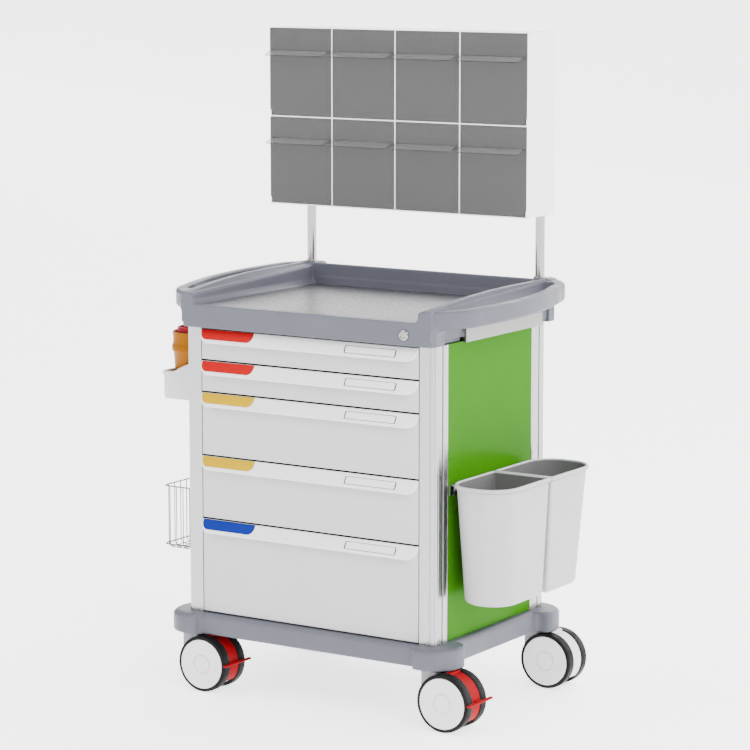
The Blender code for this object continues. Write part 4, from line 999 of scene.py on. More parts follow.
def worktop_field(sizes):
    """The worktop as a field of distances: skirt, tray walls and two push handles, moulded in one."""
    low, high = place("worktop")
    rear = high.y
    deck = place("deck_sheet")[0].z - 0.0003
    lip = deck + 0.003
    wall_top = high.z - 0.0005
    skirt_half, skirt_wall = 0.324, 0.015
    wall_height, wall_outer = 0.050, 0.3195
    back_wall = (rear - 0.060, rear - 0.050)
    bar_low = deck - 0.011
    rise = 0.021 / (rear - low.y)
    outer = handle_outline(rear)
    slot_edge = handle_slot(rear)
    lean_size = math.hypot(sizes.lean, wall_height)
    shelf_low, shelf_high = place("side_shelf")
    lock_low, lock_high = place("lock_body")
    key = ((lock_low.x + lock_high.x) / 2, (lock_low.z + lock_high.z) / 2)
    post_low, post_high = place("rack_post_right")
    post = ((post_low.x + post_high.x) / 2, (post_low.y + post_high.y) / 2)
    slide = 0.001  # room left round the shelf

    def field(x, y, z):
        side = np.abs(x)
        body = meet(plate(x, y, (-skirt_half, low.y), (skirt_half, rear), sizes.corner), slab(z, low.z, deck), 0.0022)
        recess = meet(0.3125 - side, plate(y, z, (0.030, low.z - 0.1), (rear - 0.016, bar_low + 0.004), 0.016), 0.002)
        body = remove(body, recess, 0.002)
        bar_top = bar_low + 0.038 + rise * (y - low.y)
        bar = meet(outline_distance(outer, side, y), np.abs(z - bar_top + 0.019) - 0.019, sizes.edge)
        bar = remove(bar, outline_distance(slot_edge, side, y), 0.0035)
        body = meet(merge(body, bar, sizes.fillet), slab(y, low.y, rear), 0.0022)
        inner = (sizes.wall_base + (z - deck) * sizes.lean / wall_height - side) * wall_height / lean_size
        arch = np.clip((0.330 - y) / 0.345, 0, 1)
        top = wall_top - (wall_top - deck - 0.0290) * arch * arch
        wall = meet(np.maximum(inner, side - wall_outer), z - top, 0.0018)
        wall = meet(wall, slab(y, low.y, rear - 0.006), 0.002)
        wall = np.maximum(wall, low.z + 0.01 - z)
        back = meet(slab(y, *back_wall), z - wall_top, 0.003)
        back = np.maximum(np.maximum(back, side - 0.310), low.z + 0.01 - z)
        walls = merge(wall, back, 0.006)
        boss = meet(plate(side, y, (post[0] - 0.016, post[1] - 0.006), (post[0] + 0.030, rear - 0.014), 0.008),
                    z - wall_top, 0.002)
        boss = np.maximum(boss, deck - 0.010 - z)
        walls = merge(walls, boss, 0.004)
        ledge = meet(plate(x, y, (-0.316, rear - 0.058), (0.316, rear), 0.008), slab(z, low.z, deck + 0.020), 0.005)
        front = meet(slab(y, low.y, low.y + 0.021), slab(z, low.z, lip), 0.0016)
        front = np.maximum(front, side - 0.300)
        body = merge(merge(body, front, 0.0), merge(walls, ledge, 0.005), 0.0022)
        body = meet(body, slab(y, low.y, rear), 0.0018)
        stay = plate(x, y, (0.300, rear - 0.040), (0.325, rear - 0.019), 0.002)
        stay = meet(stay, slab(z, low.z + 0.001, deck), 0.0015)
        body = np.minimum(body, stay)
        hollow = plate(x, y, (-0.300, low.y + skirt_wall), (0.300, rear - skirt_wall), 0.004)
        hollow = meet(hollow, z - deck + 0.003, 0.002)
        body = remove(body, hollow, 0.001)
        mouth = plate(y, z, (shelf_low.y - slide, low.z - 0.1), (shelf_high.y + slide, shelf_high.z + slide), 0.001)
        mouth = meet(mouth, 0.290 - x, 0.001)
        body = remove(body, mouth, 0.0008)
        lock = np.maximum(np.hypot(x - key[0], z - key[1]) - 0.0093, y - 0.010)
        return remove(body, lock, 0.0006)

    return field


def make_worktop(sizes):
    low, high = place("worktop")
    cell = sizes.cell
    edge = high.x + 0.003
    right = [(0.0, 0.0), (0.232, 0.014), (0.272, cell), (edge, cell)]
    half = steps(right)
    xs = np.concatenate([-half[:0:-1], half])
    ys = steps([(low.y - 0.003, 0.0), (low.y + 0.030, cell * 0.9), (0.110, cell * 1.3), (0.390, 0.0085),
                (high.y - 0.070, cell * 1.3), (high.y + 0.003, cell)])
    zs = steps([(low.z - 0.003, 0.0), (high.z + 0.003, cell * 0.85)])
    field_piece("worktop_shell", worktop_field(sizes), xs, ys, zs, finish("shell plastic"), "cabinet", ["worktop"])
    deck_low, deck_high = place("deck_sheet")
    half_width = sizes.wall_base - 0.0004
    sheet = rounded((-half_width, deck_low.y), (half_width, deck_high.y), (0.003, 0.003, 0.010, 0.010), 6)
    piece("tray_sheet", prism(sheet, deck_low.z, deck_high.z + 0.0006), finish("speckled steel"), "cabinet",
          ["deck_sheet"], bevel=0.0004)


def make_lock():
    """A round lock with a rolled rim, and a barrel with a keyway."""
    low, high = place("lock_body")
    centre = ((low.x + high.x) / 2, (low.z + high.z) / 2)
    face = low.y
    rim = (high.x - low.x) / 2
    profile = [(0.0064, face + 0.0004), (0.0070, face), (0.0084, face - 0.0002), (rim - 0.0008, face + 0.0006),
               (rim, face + 0.0015), (rim, face + 0.0024), (0.0088, face + 0.0024), (0.0088, high.y),
               (0.0064, high.y)]
    piece("lock_ring", turned(profile, 48, "Y", centre, closed=True), finish("polished steel"), "cabinet",
          ["lock_body"], sharp=40)
    back = place("key_barrel")[1].y
    barrel = turned([(0.0057, back), (0.0057, face + 0.0010), (0.0052, face + 0.0005)], 40, "Y", centre)
    keyway = [block((centre[0] - 0.0007, face - 0.01, centre[1] - 0.0036),
                    (centre[0] + 0.0007, face + 0.008, centre[1] + 0.0036)),
              turned([(0.0014, face - 0.01), (0.0014, face + 0.008)], 16, "Y", (centre[0], centre[1] + 0.0012))]
    cam = rounded((centre[0], centre[1] - 0.004), (centre[0] + 0.018, centre[1] + 0.004), (0, 0.003, 0.003, 0), 5)
    barrel = carve(barrel, keyway)
    prism(cam, back - 0.0058, back - 0.003, "Y", into=barrel)
    piece("lock_barrel", barrel, finish("polished steel"), "key", ["key_barrel"], sharp=35)
    hole = turned([(0.0034, face + 0.0040), (0.0034, face + 0.0046)], 24, "Y", centre)
    piece("lock_keyway_shade", hole, finish("shadow gap"), "key")


def make_shelf():
    """A board that slides out of the side, with a rolled aluminium front strip."""
    low, high = place("side_shelf")
    strip = rounded((high.x - 0.005, low.z), (high.x, high.z), (0.0004, 0.0012, 0.0012, 0.0004), 4)
    solid = prism([(a, b) for a, b in strip], low.y, high.y, "Y")
    piece("side_shelf_strip", solid, finish("shelf aluminium"), "side_shelf", ["side_shelf"],
          sharp=30)
    board = block((low.x, low.y + 0.012, high.z - 0.020), (high.x - 0.0048, high.y - 0.012, high.z - 0.005))
    piece("side_shelf_board", board, finish("white lacquer"), "side_shelf", bevel=0.001)


# Rack


def dark_rims(solid, axis):
    """Gives the second finish to every face that looks away from one axis."""
    solid.normal_update()
    for face in solid.faces:
        if abs(face.normal[axis]) < 0.7:
            face.material_index = 1
    return solid


def make_posts(sizes):
    for side, _ in SIDES:
        low, high = place(f"rack_post_{side}")
        centre = ((low.x + high.x) / 2, (low.y + high.y) / 2)
        radius = (high.x - low.x) / 2
        foot = place("worktop")[1].z
        collar = [(sizes.collar, foot), (sizes.collar, foot + 0.0028), (sizes.collar - 0.0012, foot + 0.0040)]
        profile = [(radius, low.z), (radius, foot - 0.0002), *collar, (radius, foot + 0.0040)]
        ends = [(radius, high.z - 0.0046), (sizes.collar - 0.0010, high.z - 0.0046), (sizes.collar, high.z - 0.0036)]
        profile += ends + [(sizes.collar, high.z)]
        piece(f"rack_post_{side}_tube", turned(profile, 56, "Z", centre), finish("polished steel"), "cabinet",
              [f"rack_post_{side}"], sharp=30)


def make_housing(sizes):
    """A thin-walled box with a cell for every bin, screwed together at the back."""
    low, high = place("rack_housing")
    wall = 0.0025
    columns, rows = 4, 2
    pitch = ((high.x - low.x - wall) / columns, (high.z - low.z - wall) / rows)
    cells = []
    for column in range(columns):
        for row in range(rows):
            corner = (low.x + wall + column * pitch[0], low.z + wall + row * pitch[1])
            cells.append(block((corner[0], low.y - 0.010, corner[1]),
                               (corner[0] + pitch[0] - wall, high.y + 0.010, corner[1] + pitch[1] - wall)))
    recess = low.y + 0.0027
    cells.append(block((low.x - 0.01, low.y - 0.01, low.z - 0.01), (low.x + wall, recess, high.z + 0.01)))
    cells.append(block((high.x - wall, low.y - 0.01, low.z - 0.01), (high.x + 0.01, recess, high.z + 0.01)))
    cells.append(block((low.x, low.y - 0.01, high.z - wall), (high.x, recess, high.z + 0.01)))
    piece("rack_shell", carve(block(low, high), cells), finish("rack plastic"), "cabinet", ["rack_housing"],
          bevel=sizes.edge)
    low, high = place("rack_back")
    piece("rack_back_board", block(low, high), finish("rack plastic"), "cabinet", ["rack_back"],
          bevel=sizes.edge)
    spots = [(across, high.y, height) for across in (low.x + 0.030, 0.0, high.x - 0.030)
             for height in (low.z + 0.030, high.z - 0.030)]
    screws("rack_screws", spots, (0.0, 1.0, 0.0))


def make_tilt_bin(number):
    """A tipping bin of clear grey plastic: an open tray, a tall window and a sloping lip to pull."""
    name = f"tilt_bin_{number}"
    low, high = place(name)
    wall, lip_reach = 0.0025, 0.030
    rim = low.z + 0.140
    face = low.y + lip_reach
    back = face + wall + 0.00005
    cover = 0.0035
    left = low.x - cover * (number in (1, 5))
    right = high.x + cover * (number in (4, 8))
    top, foot = high.z + cover * (number <= 4), low.z + 0.012
    corners = [(low.x, low.z), (high.x, low.z), (high.x, foot), (right, foot), (right, top), (left, top),
               (left, foot), (low.x, foot)]
    pane = [corner for spot, corner in enumerate(corners) if corner != corners[spot - 1]]
    finishes = [finish("smoke plastic"), finish("smoke edge")]
    window = prism(pane, face, face + wall, "Y")
    piece(f"{name}_window", dark_rims(window, 1), finishes, name, [name], bevel=0.0005, segments=2)
    outer = rounded((low.x, back), (high.x, high.y), (0, 0, 0.010, 0.010), 6)
    inner = rounded((low.x + wall, back), (high.x - wall, high.y - wall), (0, 0, 0.0075, 0.0075), 6)
    tray = prism(outer + list(reversed(inner)), low.z + wall, rim)
    bmesh.ops.triangulate(tray, faces=[flat for flat in tray.faces if len(flat.verts) > 4], ngon_method="EAR_CLIP")
    prism(outer, low.z, low.z + wall - 0.00005, into=tray)
    piece(f"{name}_tray", tray, [finish("clear plastic")], name, sharp=35)
    gap, slope = 0.003, 0.011
    joint = high.z - 0.0455
    shape = rounded((low.x + gap, low.y), (high.x - gap, face - 0.00005), (0.005, 0.005, 0, 0), 5)
    tops = [(across, along, joint - slope * (face - along) / lip_reach) for across, along in shape]
    lip = loft([[(a, b, c - 0.0022) for a, b, c in tops], tops])
    piece(f"{name}_lip", dark_rims(lip, 2), [finish("lip plastic"), finish("smoke edge")], name,
          bevel=0.0004, segments=2)


# Right side


def waste_outline(share, grow, front):
    """One bin in plan, at a share of its height below the rim. The front one has its round end forward."""
    low, high = place("waste_bin_front")
    rear = place("waste_bin_rear")[1].y
    rim = 0.0045
    inner = low.x + rim + 0.006 * share - grow
    outer = high.x - rim - 0.012 * share + grow
    round_end = low.y + rim + 0.024 * share - grow
    flat_end = high.y - rim - 0.004 * share + grow
    corner, small = 0.060 + grow, max(0.006 + grow, 0.0005)
    outline = rounded((inner, round_end), (outer, flat_end), (corner, corner, small, small), 14)
    return outline if front else mirrored(outline, (low.y + rear) / 2)


def make_waste_bins():
    for name, front in (("waste_bin_front", True), ("waste_bin_rear", False)):
        low, high = place(name)
        height = high.z - low.z
        rings = []
        foot = 0.010
        for step in range(6):
            angle = math.radians(90 * step / 5)
            rings.append(lift(waste_outline(1.0, -foot * (1 - math.sin(angle)), front),
                              low.z + foot * (1 - math.cos(angle))))
        hang = 0.0085
        rings.append(lift(waste_outline(hang / height, 0.0, front), high.z - hang))
        rim = 0.0045
        rings.append(lift(waste_outline(hang / height, rim - 0.0008, front), high.z - hang))
        rings.append(lift(waste_outline(0.0, rim, front), high.z - hang + 0.0010))
        for step in range(8):
            angle = math.radians(180 * step / 7)
            middle = (rim - 0.0025) / 2
            spread = (rim + 0.0025) / 2
            rings.append(lift(waste_outline(0.0, middle + spread * math.cos(angle), front),
                              high.z - 0.0032 + 0.0032 * math.sin(angle)))
        rings.append(lift(waste_outline(0.98, -0.0025, front), low.z + 0.009))
        rings.append(lift(waste_outline(1.0, -0.010, front), low.z + 0.0028))
        solid = loft(rings)
        solid.normal_update()
        middle = (low + high) / 2
        # faces inside the bin take the darker second finish: painted shade on the inner walls and floor
        for face in solid.faces:
            centre = face.calc_center_median()
            if centre.z < high.z - 0.006 and face.normal.dot(centre - middle) < 0:
                face.material_index = 1
        plastics = [finish("bin plastic"), finish("bin shade")]
        piece(f"{name}_shell", solid, plastics, name, [name], sharp=35)


def make_bracket():
    """A rail of folded aluminium that the bins' rims hang over."""
    low, high = place("waste_bin_bracket")
    sheet = 0.002
    fold = [(low.x, low.z), (low.x + sheet, low.z), (low.x + sheet, high.z - sheet), (high.x - sheet, high.z - sheet)]
    fold += [(high.x - sheet, high.z - 0.011), (high.x, high.z - 0.011), (high.x, high.z), (low.x, high.z)]
    piece("waste_rail", prism(fold, low.y, high.y, "Y"), finish("satin aluminium"), "cabinet", ["waste_bin_bracket"],
          bevel=0.0005)
    spots = [(low.x + sheet, low.y + (high.y - low.y) * share, (low.z + high.z) / 2 - 0.004)
             for share in (0.1, 0.5, 0.9)]
    screws("waste_rail_screws", spots, (1.0, 0.0, 0.0), 0.8)


# Left side


def make_holder():
    """An open cup that hangs on the left panel. Its rolled rim is high at the panel and low outside."""
    low, high = place("sharps_holder")
    flat = low.x + 0.034
    foot = high.x - 0.0035
    corner = 0.012
    outside = low.z + 0.063

    def plan(inset):
        left, right = low.x + inset, high.x - inset
        front, back = low.y + inset, high.y - inset
        bow = corner - inset
        row = [left + bow + (right - left - bow) * step / 12 for step in range(13)]
        points = arc((left + bow, front + bow), bow, 180, 270, 8)[:-1] + [(across, front) for across in row]
        points += [(across, back) for across in reversed(row)]
        return points + arc((left + bow, back - bow), bow, 90, 180, 8)[1:]

    def rim_height(across):
        climb = min(max((across - flat) / (foot - flat), 0.0), 1.0)
        return outside + (high.z - 0.003 - outside) * (climb + 0.08 * math.sin(2 * math.pi * climb) * 0.5)

    def level(inset, height=None, below=0.0):
        return [(a, b, rim_height(a) - below if height is None else height) for a, b in plan(inset)]

    wall, roll = 0.003, 0.0030
    rings = [level(0.004, low.z), level(0.0012, low.z + 0.0012), level(0.0, low.z + 0.004), level(0.0, below=0.010),
             level(-roll + 0.0005, below=0.0095), level(-roll, below=0.0088), level(-roll, below=0.0020)]
    rings += [level(-roll + 0.0009, below=0.0006), level(-roll + 0.0022), level(wall - 0.0010),
              level(wall, below=0.0010)]
    rings += [level(wall, low.z + 0.006), level(wall + 0.003, low.z + wall)]
    piece("sharps_cup", loft(rings), finish("holder plastic"), "cabinet", ["sharps_holder"], sharp=40)


def make_container():
    """A turned container with a bead round its neck, and a lid with a rim, a recess and a drop hole."""
    low, high = place("sharps_container")
    centre = ((low.x + high.x) / 2, (low.y + high.y) / 2)
    radius = (high.x - low.x) / 2
    wide = radius - 0.0040
    ring_low, ring_high = high.z - 0.043, high.z - 0.031
    profile = [(0.0390, low.z), (0.0425, low.z + 0.0008), (0.0440, low.z + 0.003), (wide, ring_low - 0.0060),
               (wide + 0.0010, ring_low - 0.0040), (radius - 0.0008, ring_low), (radius, ring_low + 0.0010),
               (radius, ring_high - 0.0012), (radius - 0.0008, ring_high), (wide + 0.0022, ring_high + 0.0030),
               (wide + 0.0015, ring_high + 0.0050), (wide + 0.0015, high.z - 0.009), (wide + 0.0022, high.z - 0.0082),
               (wide + 0.0022, high.z - 0.0012), (wide + 0.0012, high.z), (wide - 0.0001, high.z),
               (wide - 0.0006, high.z - 0.001), (wide - 0.0006, high.z - 0.0062), (0.0381, high.z - 0.0062),
               (0.0381, high.z - 0.009), (0.0470, high.z - 0.014), (0.0420, low.z + 0.002)]
    piece("sharps_jar", turned(profile, 96, "Z", centre), finish("container plastic"), "sharps_container",
          ["sharps_container"], sharp=38)
    lid_low, lid_high = place("sharps_lid")
    size = (lid_high.x - lid_low.x) / 2
    knob = size * 0.55
    deck = lid_high.z - 0.0085
    cap = [(size - 0.0004, lid_low.z), (size, lid_low.z + 0.0006), (size, lid_low.z + 0.0105),
           (size - 0.0014, lid_high.z - 0.0046), (size - 0.0034, lid_high.z - 0.0040),
           (size - 0.0050, lid_high.z - 0.0046), (size - 0.0064, deck), (knob + 0.0040, deck),
           (knob + 0.0020, lid_high.z - 0.0012), (knob + 0.0008, lid_high.z),
           (knob - 0.0012, lid_high.z), (knob - 0.0022, lid_high.z - 0.001),
           (knob - 0.0036, deck + 0.001)]
    drop = rounded((centre[0] - 0.003, centre[1] - 0.012), (centre[0] + 0.021, centre[1] + 0.012), (0.012,) * 4, 10)
    lid = carve(turned(cap, 80, "Z", centre), [prism(drop, lid_low.z - 0.01, lid_high.z + 0.01)])
    ribs = 24
    for index in range(ribs):
        angle = 2 * math.pi * index / ribs
        block((size - 0.0008, -0.0009, lid_low.z + 0.0070), (size + 0.0004, 0.0009, lid_low.z + 0.0104), into=lid)
        turn = Matrix.Translation((centre[0], centre[1], 0)) @ Matrix.Rotation(angle, 4, "Z")
        lid.verts.ensure_lookup_table()
        bmesh.ops.transform(lid, matrix=turn, verts=lid.verts[-8:])
    piece("sharps_cap", lid, finish("lid plastic"), "sharps_lid", ["sharps_lid"], sharp=32)


def make_basket(sizes):
    """Round wires: a thick rim, two hoops, and U-shaped wires both ways, hung from two plates."""
    low, high = place("wire_basket")
    out = sizes.rim_radius
    side = high.x - 0.0057
    box_low, box_high = (low.x + out - sizes.bulge, low.y + out), (side - out, high.y - out)

    def hoop(inset, height):
        corner = sizes.corner - inset
        return (lift(rounded((box_low[0] + inset, box_low[1] + inset), (box_high[0] - inset, box_high[1] - inset),
                             (corner,) * 4, 6), height), True)

    def cradle(along, span, swap):
        """One wire that runs down a side, under the floor and up the other side."""
        inset = out + sizes.wire_radius
        start, end = span[0] + inset, span[1] - inset
        base = low.z + sizes.wire_radius + (2 * sizes.wire_radius if swap else 0.0)
        path = [(start, high.z - 0.002)]
        path += bend((start, base + 0.012), (start, base), (start + 0.012, base), 5)
        path += bend((end - 0.012, base), (end, base), (end, base + 0.012), 5) + [(end, high.z - 0.002)]
        return ([(along, b, c) for b, c in path] if swap else [(b, along, c) for b, c in path], False)

    tree = wire_tree()
    rims = [hoop(0.0, high.z - out), hoop(0.0, low.z + 0.010)]
    wires = []
    margin = sizes.corner + 0.002
    for index in range(sizes.long_wires):
        along = box_low[1] + margin + (box_high[1] - box_low[1] - 2 * margin) * index / (sizes.long_wires - 1)
        wires.append(cradle(along, (box_low[0], box_high[0]), False))
    for index in range(sizes.short_wires):
        across = box_low[0] + margin + (box_high[0] - box_low[0] - 2 * margin) * index / (sizes.short_wires - 1)
        wires.append(cradle(across, (box_low[1], box_high[1]), True))
    steel = finish("chromed wire")
    for name, paths, radius, replaces in (("basket_rims", rims, sizes.rim_radius, ["wire_basket"]),
                                          ("basket_wires", wires, sizes.wire_radius, ())):
        values = {"Wire radius": radius, "Sides": 8, "Finish": steel}
        tree.make(name, path_mesh(name, paths), values, "cabinet", replaces, "basket_wire")
    plates = bmesh.new()
    for along in (low.y + 0.031, high.y - 0.031):
        shape = rounded((along - 0.008, high.z - 0.022), (along + 0.008, high.z - 0.001), (0.004,) * 4, 5)
        prism(shape, side - 0.0012, high.x, "X", into=plates)
    piece("basket_plates", plates, finish("sheet steel"), "cabinet", bevel=0.0005)


# Casters


def caster_frame(end, side):
    """Where a caster's axle and its swivel are, and half the width between its wheels."""
    low, high = place(f"caster_{end}_{side}_wheels")
    axle = (low + high) / 2
    fork_low, fork_high = place(f"caster_{end}_{side}_fork")
    return axle, axle.x - 0.044, (fork_high.y - fork_low.y) / 2, fork_high.z


def hood_band(axle, start, inner, outer, end=105):
    """The arched cover in side view, with a rounded front end."""
    points = arc((axle.x, axle.z), outer, start, end, 30)
    return points + arc((axle.x, axle.z), inner, end, start, 30)


def make_wheels(end, side, sizes):
    name = f"caster_{end}_{side}_wheels"
    low, high = place(name)
    axle = (low + high) / 2
    rim = (high.z - low.z) / 2
    near, far = 0.0155, (high.y - low.y) / 2
    tread = rim - sizes.tread
    disc, tyre = bmesh.new(), bmesh.new()
    mid = (near + far) / 2
    wide = (far - near) / 2
    for sign in (-1, 1):
        section = [(tread, near + 0.0015)]
        for step in range(13):
            angle = math.radians(-90 + 180 * step / 12)
            along = mid + (wide - 0.0012) * math.copysign(abs(math.sin(angle)) ** 0.6, math.sin(angle))
            section.append((rim - 0.0030 * (1 - abs(math.cos(angle)) ** 0.6), along))
        section += [(rim - 0.0042, far - 0.0008), (tread, far - 0.0008)]
        outline = [(radius, axle.y + sign * along) for radius, along in section]
        turned(outline, sizes.facets, "Y", (axle.x, axle.z), True, tyre)
        ring = sizes.ring
        face = [(tread - 0.0001, near + 0.002), (tread - 0.0001, far - 0.0011), (tread - 0.0012, far - 0.0002),
                (tread - 0.0040, far), (ring + 0.014, far - 0.0010), (ring + 0.0014, far - 0.0014),
                (ring + 0.0009, far - 0.0034), (ring - 0.0007, far - 0.0034), (ring - 0.0012, far - 0.0010),
                (0.0090, far - 0.0008), (0.0060, far - 0.0009)]
        outline = [(radius, axle.y + sign * along) for radius, along in face]
        turned(outline, sizes.facets, "Y", (axle.x, axle.z), into=disc)
    pin, reach = 0.0049, near + 0.003
    turned([(pin, axle.y - reach), (pin, axle.y + reach)], 24, "Y", (axle.x, axle.z), into=disc)
    piece(f"{name}_tyres", tyre, finish("tyre rubber"), name, [name], sharp=50)
    plastic = "wheel plastic" if end == "front" else "hood plastic"
    piece(f"{name}_discs", disc, finish(plastic), name, sharp=35)


def make_fork(end, side):
    name = f"caster_{end}_{side}"
    axle, swivel, half, top = caster_frame(end, side)
    round_body = 0.0472
    neck = 0.020
    points = [(swivel - neck, top - 0.004), (swivel - neck, axle.z - 0.016)]
    points += arc((axle.x, axle.z), round_body, 205, 415, 44)
    points += [(swivel + neck, axle.z + round_body), (swivel + neck, top - 0.004)]
    body = prism(points, axle.y - half, axle.y + half, "Y")
    piece(f"{name}_fork_body", body, finish("caster plastic"), f"{name}_swivel", [f"{name}_fork"],
          bevel=0.0030, sharp=50)
    stem = [(neck - 0.001, top - 0.012), (neck + 0.0014, top - 0.0050), (neck + 0.0014, top - 0.0006), (neck, top)]
    plate_solid = turned(stem, 48, "Z", (swivel, axle.y))
    piece(f"{name}_swivel_plate", plate_solid, finish("satin aluminium"), f"{name}_swivel",
          sharp=30)
    if end == "rear":
        make_hood(name, axle, half, f"{name}_swivel", "hood plastic", (), 0.0455)


def make_hood(name, axle, half, body, plastic, replaces, inner):
    """The arched cover between two wheels, with a tab that stands up on top."""
    cover = prism(hood_band(axle, -40, inner, 0.0600), axle.y - half + 0.001, axle.y + half - 0.001, "Y")
    piece(f"{name}_hood", cover, finish(plastic), body, replaces, bevel=0.0020, sharp=50)
    top = axle.z + 0.0635
    shape = [(axle.x - 0.004, axle.z + 0.052), (axle.x + 0.012, axle.z + 0.052)]
    shape += arc((axle.x + 0.0065, top - 0.0035), 0.0035, 0, 90, 5) + [(axle.x - 0.002, top)]
    tab = prism(shape, axle.y - half + 0.001, axle.y + half - 0.001, "Y")
    piece(f"{name}_hood_tab", tab, finish(plastic), body, bevel=0.0012, sharp=40)


def make_pedal(side, sizes):
    name = f"caster_front_{side}_pedal"
    axle, _, half, _ = caster_frame("front", side)
    low, high = place(name)
    make_hood(name, axle, half, name, "brake plastic", [name], 0.0492)
    radius = sizes.bar_radius
    inner, outer = axle.x + 0.0645 + radius, high.x - radius
    height = axle.z + 0.0053
    bow = (outer - inner) / 2
    centre = (inner + outer) / 2
    path = arc((centre, high.y - radius - bow), bow, 0, 180, 10)
    path += arc((centre, low.y + radius + bow), bow, 180, 360, 10)
    values = {"Wire radius": radius, "Sides": 12, "Finish": finish("brake plastic")}
    loop = path_mesh(f"{name}_bar", [(lift(path, height), True)])
    wire_tree().make(f"{name}_bar", loop, values, name, slot="brake_red")
    stem = rounded((axle.x + 0.0545, axle.y - 0.0080), (inner + 0.0015, axle.y + 0.0080), (0, 0.003, 0.003, 0), 4)
    piece(f"{name}_stem", prism(stem, height - 0.0035, height + 0.0032), finish("brake plastic"), name,
          bevel=0.0012)


# Stage


def soft_light(name, place_at, target, size, power):
    light = bpy.data.lights.new(name, "AREA")
    light.shape = "RECTANGLE"
    light.size, light.size_y = size
    light.energy = power
    obj = bpy.data.objects.new(name, light)
    bpy.context.scene.collection.objects.link(obj)
    aim(obj, Vector(place_at) + SHIFT, Vector(target) + SHIFT)
    return obj


def aim(obj, where, target):
    obj.location = where
    obj.rotation_euler = (target - where).to_track_quat("-Z", "Y").to_euler()


def make_stage(settings):
    """A pale floor that curves up into a backdrop, soft lights and the camera."""
    reach, climb, radius = 45.0, 20.0, 3.0
    wall = 9.0
    profile = [(-reach, -0.0005), (wall - radius, -0.0005)]
    profile += [(along, height + radius) for along, height in
                arc((wall - radius, -0.0005), radius, -90, 0, 24)[1:]] + [(wall, climb)]
    sweep = bmesh.new()
    rows = [[sweep.verts.new((across, along, height)) for along, height in profile] for across in (-reach, reach)]
    for index in range(len(profile) - 1):
        sweep.faces.new((rows[0][index], rows[1][index], rows[1][index + 1], rows[0][index + 1]))
    mesh = bpy.data.meshes.new("studio_sweep")
    sweep.to_mesh(mesh)
    sweep.free()
    mesh.shade_smooth()
    paper = Finish("studio paper", (0.86, 0.86, 0.86), 0.7)
    paper.mottle(paper.noise(0.6), 0.01)
    paper.set("Emission Color", (1.0, 1.0, 1.0, 1.0)).set("Emission Strength", settings.glow)
    mesh.materials.append(paper.material)
    floor = link("studio_sweep", mesh)
    floor.rotation_euler.z = math.radians(-34)
    world = bpy.data.worlds.new("studio")
    world.use_nodes = True
    nodes, links = world.node_tree.nodes, world.node_tree.links
    direction = nodes.new("ShaderNodeTexCoord")
    split = nodes.new("ShaderNodeSeparateXYZ")
    rise = nodes.new("ShaderNodeMapRange")
    for socket, value in (("From Min", 0.10), ("From Max", 0.70), ("To Min", settings.sky * 0.18),
                          ("To Max", settings.sky)):
        rise.inputs[socket].default_value = value
    links.new(direction.outputs["Generated"], split.inputs["Vector"])
    links.new(split.outputs["Z"], rise.inputs["Value"])
    links.new(rise.outputs["Result"], nodes["Background"].inputs["Strength"])
    nodes["Background"].inputs["Color"].default_value = (1.0, 1.0, 1.0, 1.0)
    bpy.context.scene.world = world
    soft_light("key_light", (3.6, -2.6, 3.6), (0.0, 0.2, 0.7), (1.8, 1.8), settings.key)
    soft_light("fill_light", (-2.6, -3.8, 2.8), (0.0, 0.2, 0.6), (1.6, 2.4), settings.fill)
    soft_light("back_light", (0.5, 3.6, 3.6), (0.0, 0.2, 0.8), (3.0, 2.0), settings.fill)
    data = bpy.data.cameras.new("camera")
    data.lens = settings.lens
    data.clip_end = 100.0
    camera = bpy.data.objects.new("camera", data)
    bpy.context.scene.collection.objects.link(camera)
    aim(camera, Vector(settings.camera) + SHIFT, Vector(settings.target) + SHIFT)
    bpy.context.scene.camera = camera


# Operators


class TROLLEY_OT_cabinet(bpy.types.Operator):
    """Builds the plinth, columns, panels and runners"""

    bl_idname = "trolley.cabinet"
    bl_label = "Build Cabinet"
    bl_options = {"REGISTER", "UNDO"}

    def execute(self, context):
        make_plinth()
        make_columns()
        make_panels()
        make_inside()
        make_gap_shade()
        return {"FINISHED"}


class TROLLEY_OT_drawers(bpy.types.Operator):
    """Builds the five drawers with their pulls, tabs and labels"""

    bl_idname = "trolley.drawers"
    bl_label = "Build Drawers"
    bl_options = {"REGISTER", "UNDO"}

    def execute(self, context):
        for number in DRAWERS:
            make_drawer_front(number, context.scene.trolley_drawers)
            make_tab(number, context.scene.trolley_drawers)
            make_drawer_tray(number)
        return {"FINISHED"}


class TROLLEY_OT_worktop(bpy.types.Operator):
    """Builds the worktop, its tray sheet, the lock and the side shelf"""

    bl_idname = "trolley.worktop"
    bl_label = "Build Worktop"
    bl_options = {"REGISTER", "UNDO"}

    def execute(self, context):
        make_worktop(context.scene.trolley_worktop)
        make_lock()
        make_shelf()
        return {"FINISHED"}


class TROLLEY_OT_rack(bpy.types.Operator):
    """Builds the rack, its posts and the tilting bins"""

    bl_idname = "trolley.rack"
    bl_label = "Build Rack"
    bl_options = {"REGISTER", "UNDO"}

    def execute(self, context):
        make_posts(context.scene.trolley_rack)
        make_housing(context.scene.trolley_rack)
        for number in TILT_BINS:
            make_tilt_bin(number)
        return {"FINISHED"}


class TROLLEY_OT_side_fittings(bpy.types.Operator):
    """Builds the waste bins, sharps container and wire basket on the sides"""

    bl_idname = "trolley.side_fittings"
    bl_label = "Build Side Fittings"
    bl_options = {"REGISTER", "UNDO"}

    def execute(self, context):
        make_waste_bins()
        make_bracket()
        make_holder()
        make_container()
        make_basket(context.scene.trolley_basket)
        return {"FINISHED"}


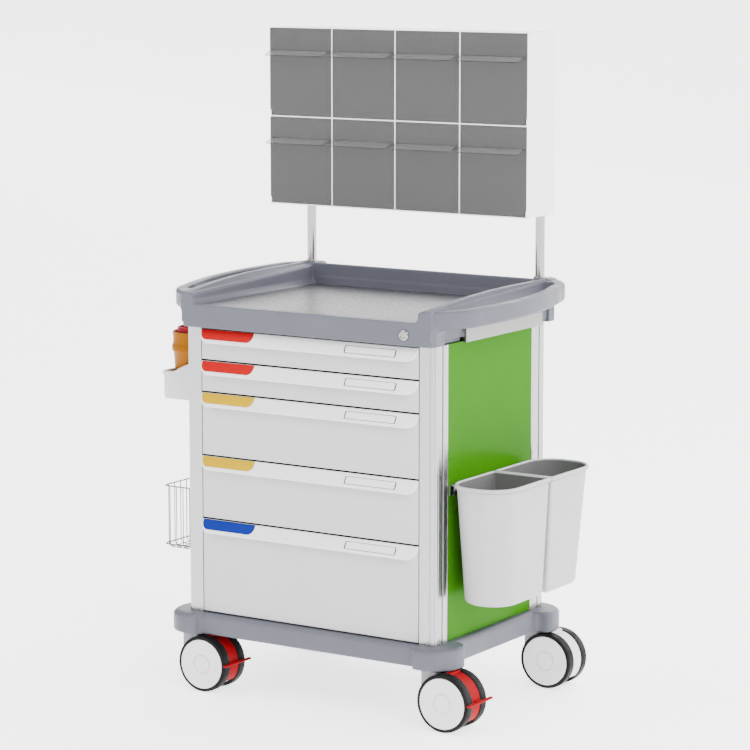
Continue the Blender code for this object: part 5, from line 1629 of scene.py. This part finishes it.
class TROLLEY_OT_casters(bpy.types.Operator):
    """Builds the four twin-wheel casters and the brake pedals"""

    bl_idname = "trolley.casters"
    bl_label = "Build Casters"
    bl_options = {"REGISTER", "UNDO"}

    def execute(self, context):
        for side, _ in SIDES:
            for end in ("front", "rear"):
                make_fork(end, side)
                make_wheels(end, side, context.scene.trolley_casters)
            make_pedal(side, context.scene.trolley_casters)
        return {"FINISHED"}


class TROLLEY_OT_stage(bpy.types.Operator):
    """Builds the floor, the lights and the camera"""

    bl_idname = "trolley.stage"
    bl_label = "Build Stage"
    bl_options = {"REGISTER", "UNDO"}

    def execute(self, context):
        make_stage(context.scene.trolley_stage)
        return {"FINISHED"}


OPERATORS = (TROLLEY_OT_cabinet, TROLLEY_OT_drawers, TROLLEY_OT_worktop, TROLLEY_OT_rack, TROLLEY_OT_side_fittings,
             TROLLEY_OT_casters, TROLLEY_OT_stage)
SETTINGS = {"trolley_colours": TrolleyColours, "trolley_worktop": WorktopSizes, "trolley_drawers": DrawerSizes,
            "trolley_rack": RackSizes, "trolley_basket": BasketSizes, "trolley_casters": CasterSizes,
            "trolley_stage": StageSettings}


class TROLLEY_PT_panel(bpy.types.Panel):
    """Sidebar tab that lists every operator"""

    bl_idname = "TROLLEY_PT_panel"
    bl_label = "Treatment Trolley"
    bl_space_type = "VIEW_3D"
    bl_region_type = "UI"
    bl_category = "Trolley"

    def draw(self, context):
        for operator in OPERATORS:
            self.layout.operator(operator.bl_idname)


def register():
    for group in (*SETTINGS.values(), *OPERATORS, TROLLEY_PT_panel):
        bpy.utils.register_class(group)
    for name, group in SETTINGS.items():
        setattr(bpy.types.Scene, name, PointerProperty(type=group))


def unregister():
    for name in SETTINGS:
        delattr(bpy.types.Scene, name)
    for group in (TROLLEY_PT_panel, *reversed(OPERATORS), *SETTINGS.values()):
        bpy.utils.unregister_class(group)


def main():
    register()
    bpy.ops.trolley.cabinet()
    bpy.ops.trolley.drawers()
    bpy.ops.trolley.worktop()
    bpy.ops.trolley.rack()
    bpy.ops.trolley.side_fittings()
    bpy.ops.trolley.casters()
    bpy.ops.trolley.stage()


if __name__ == "__main__":
    main()
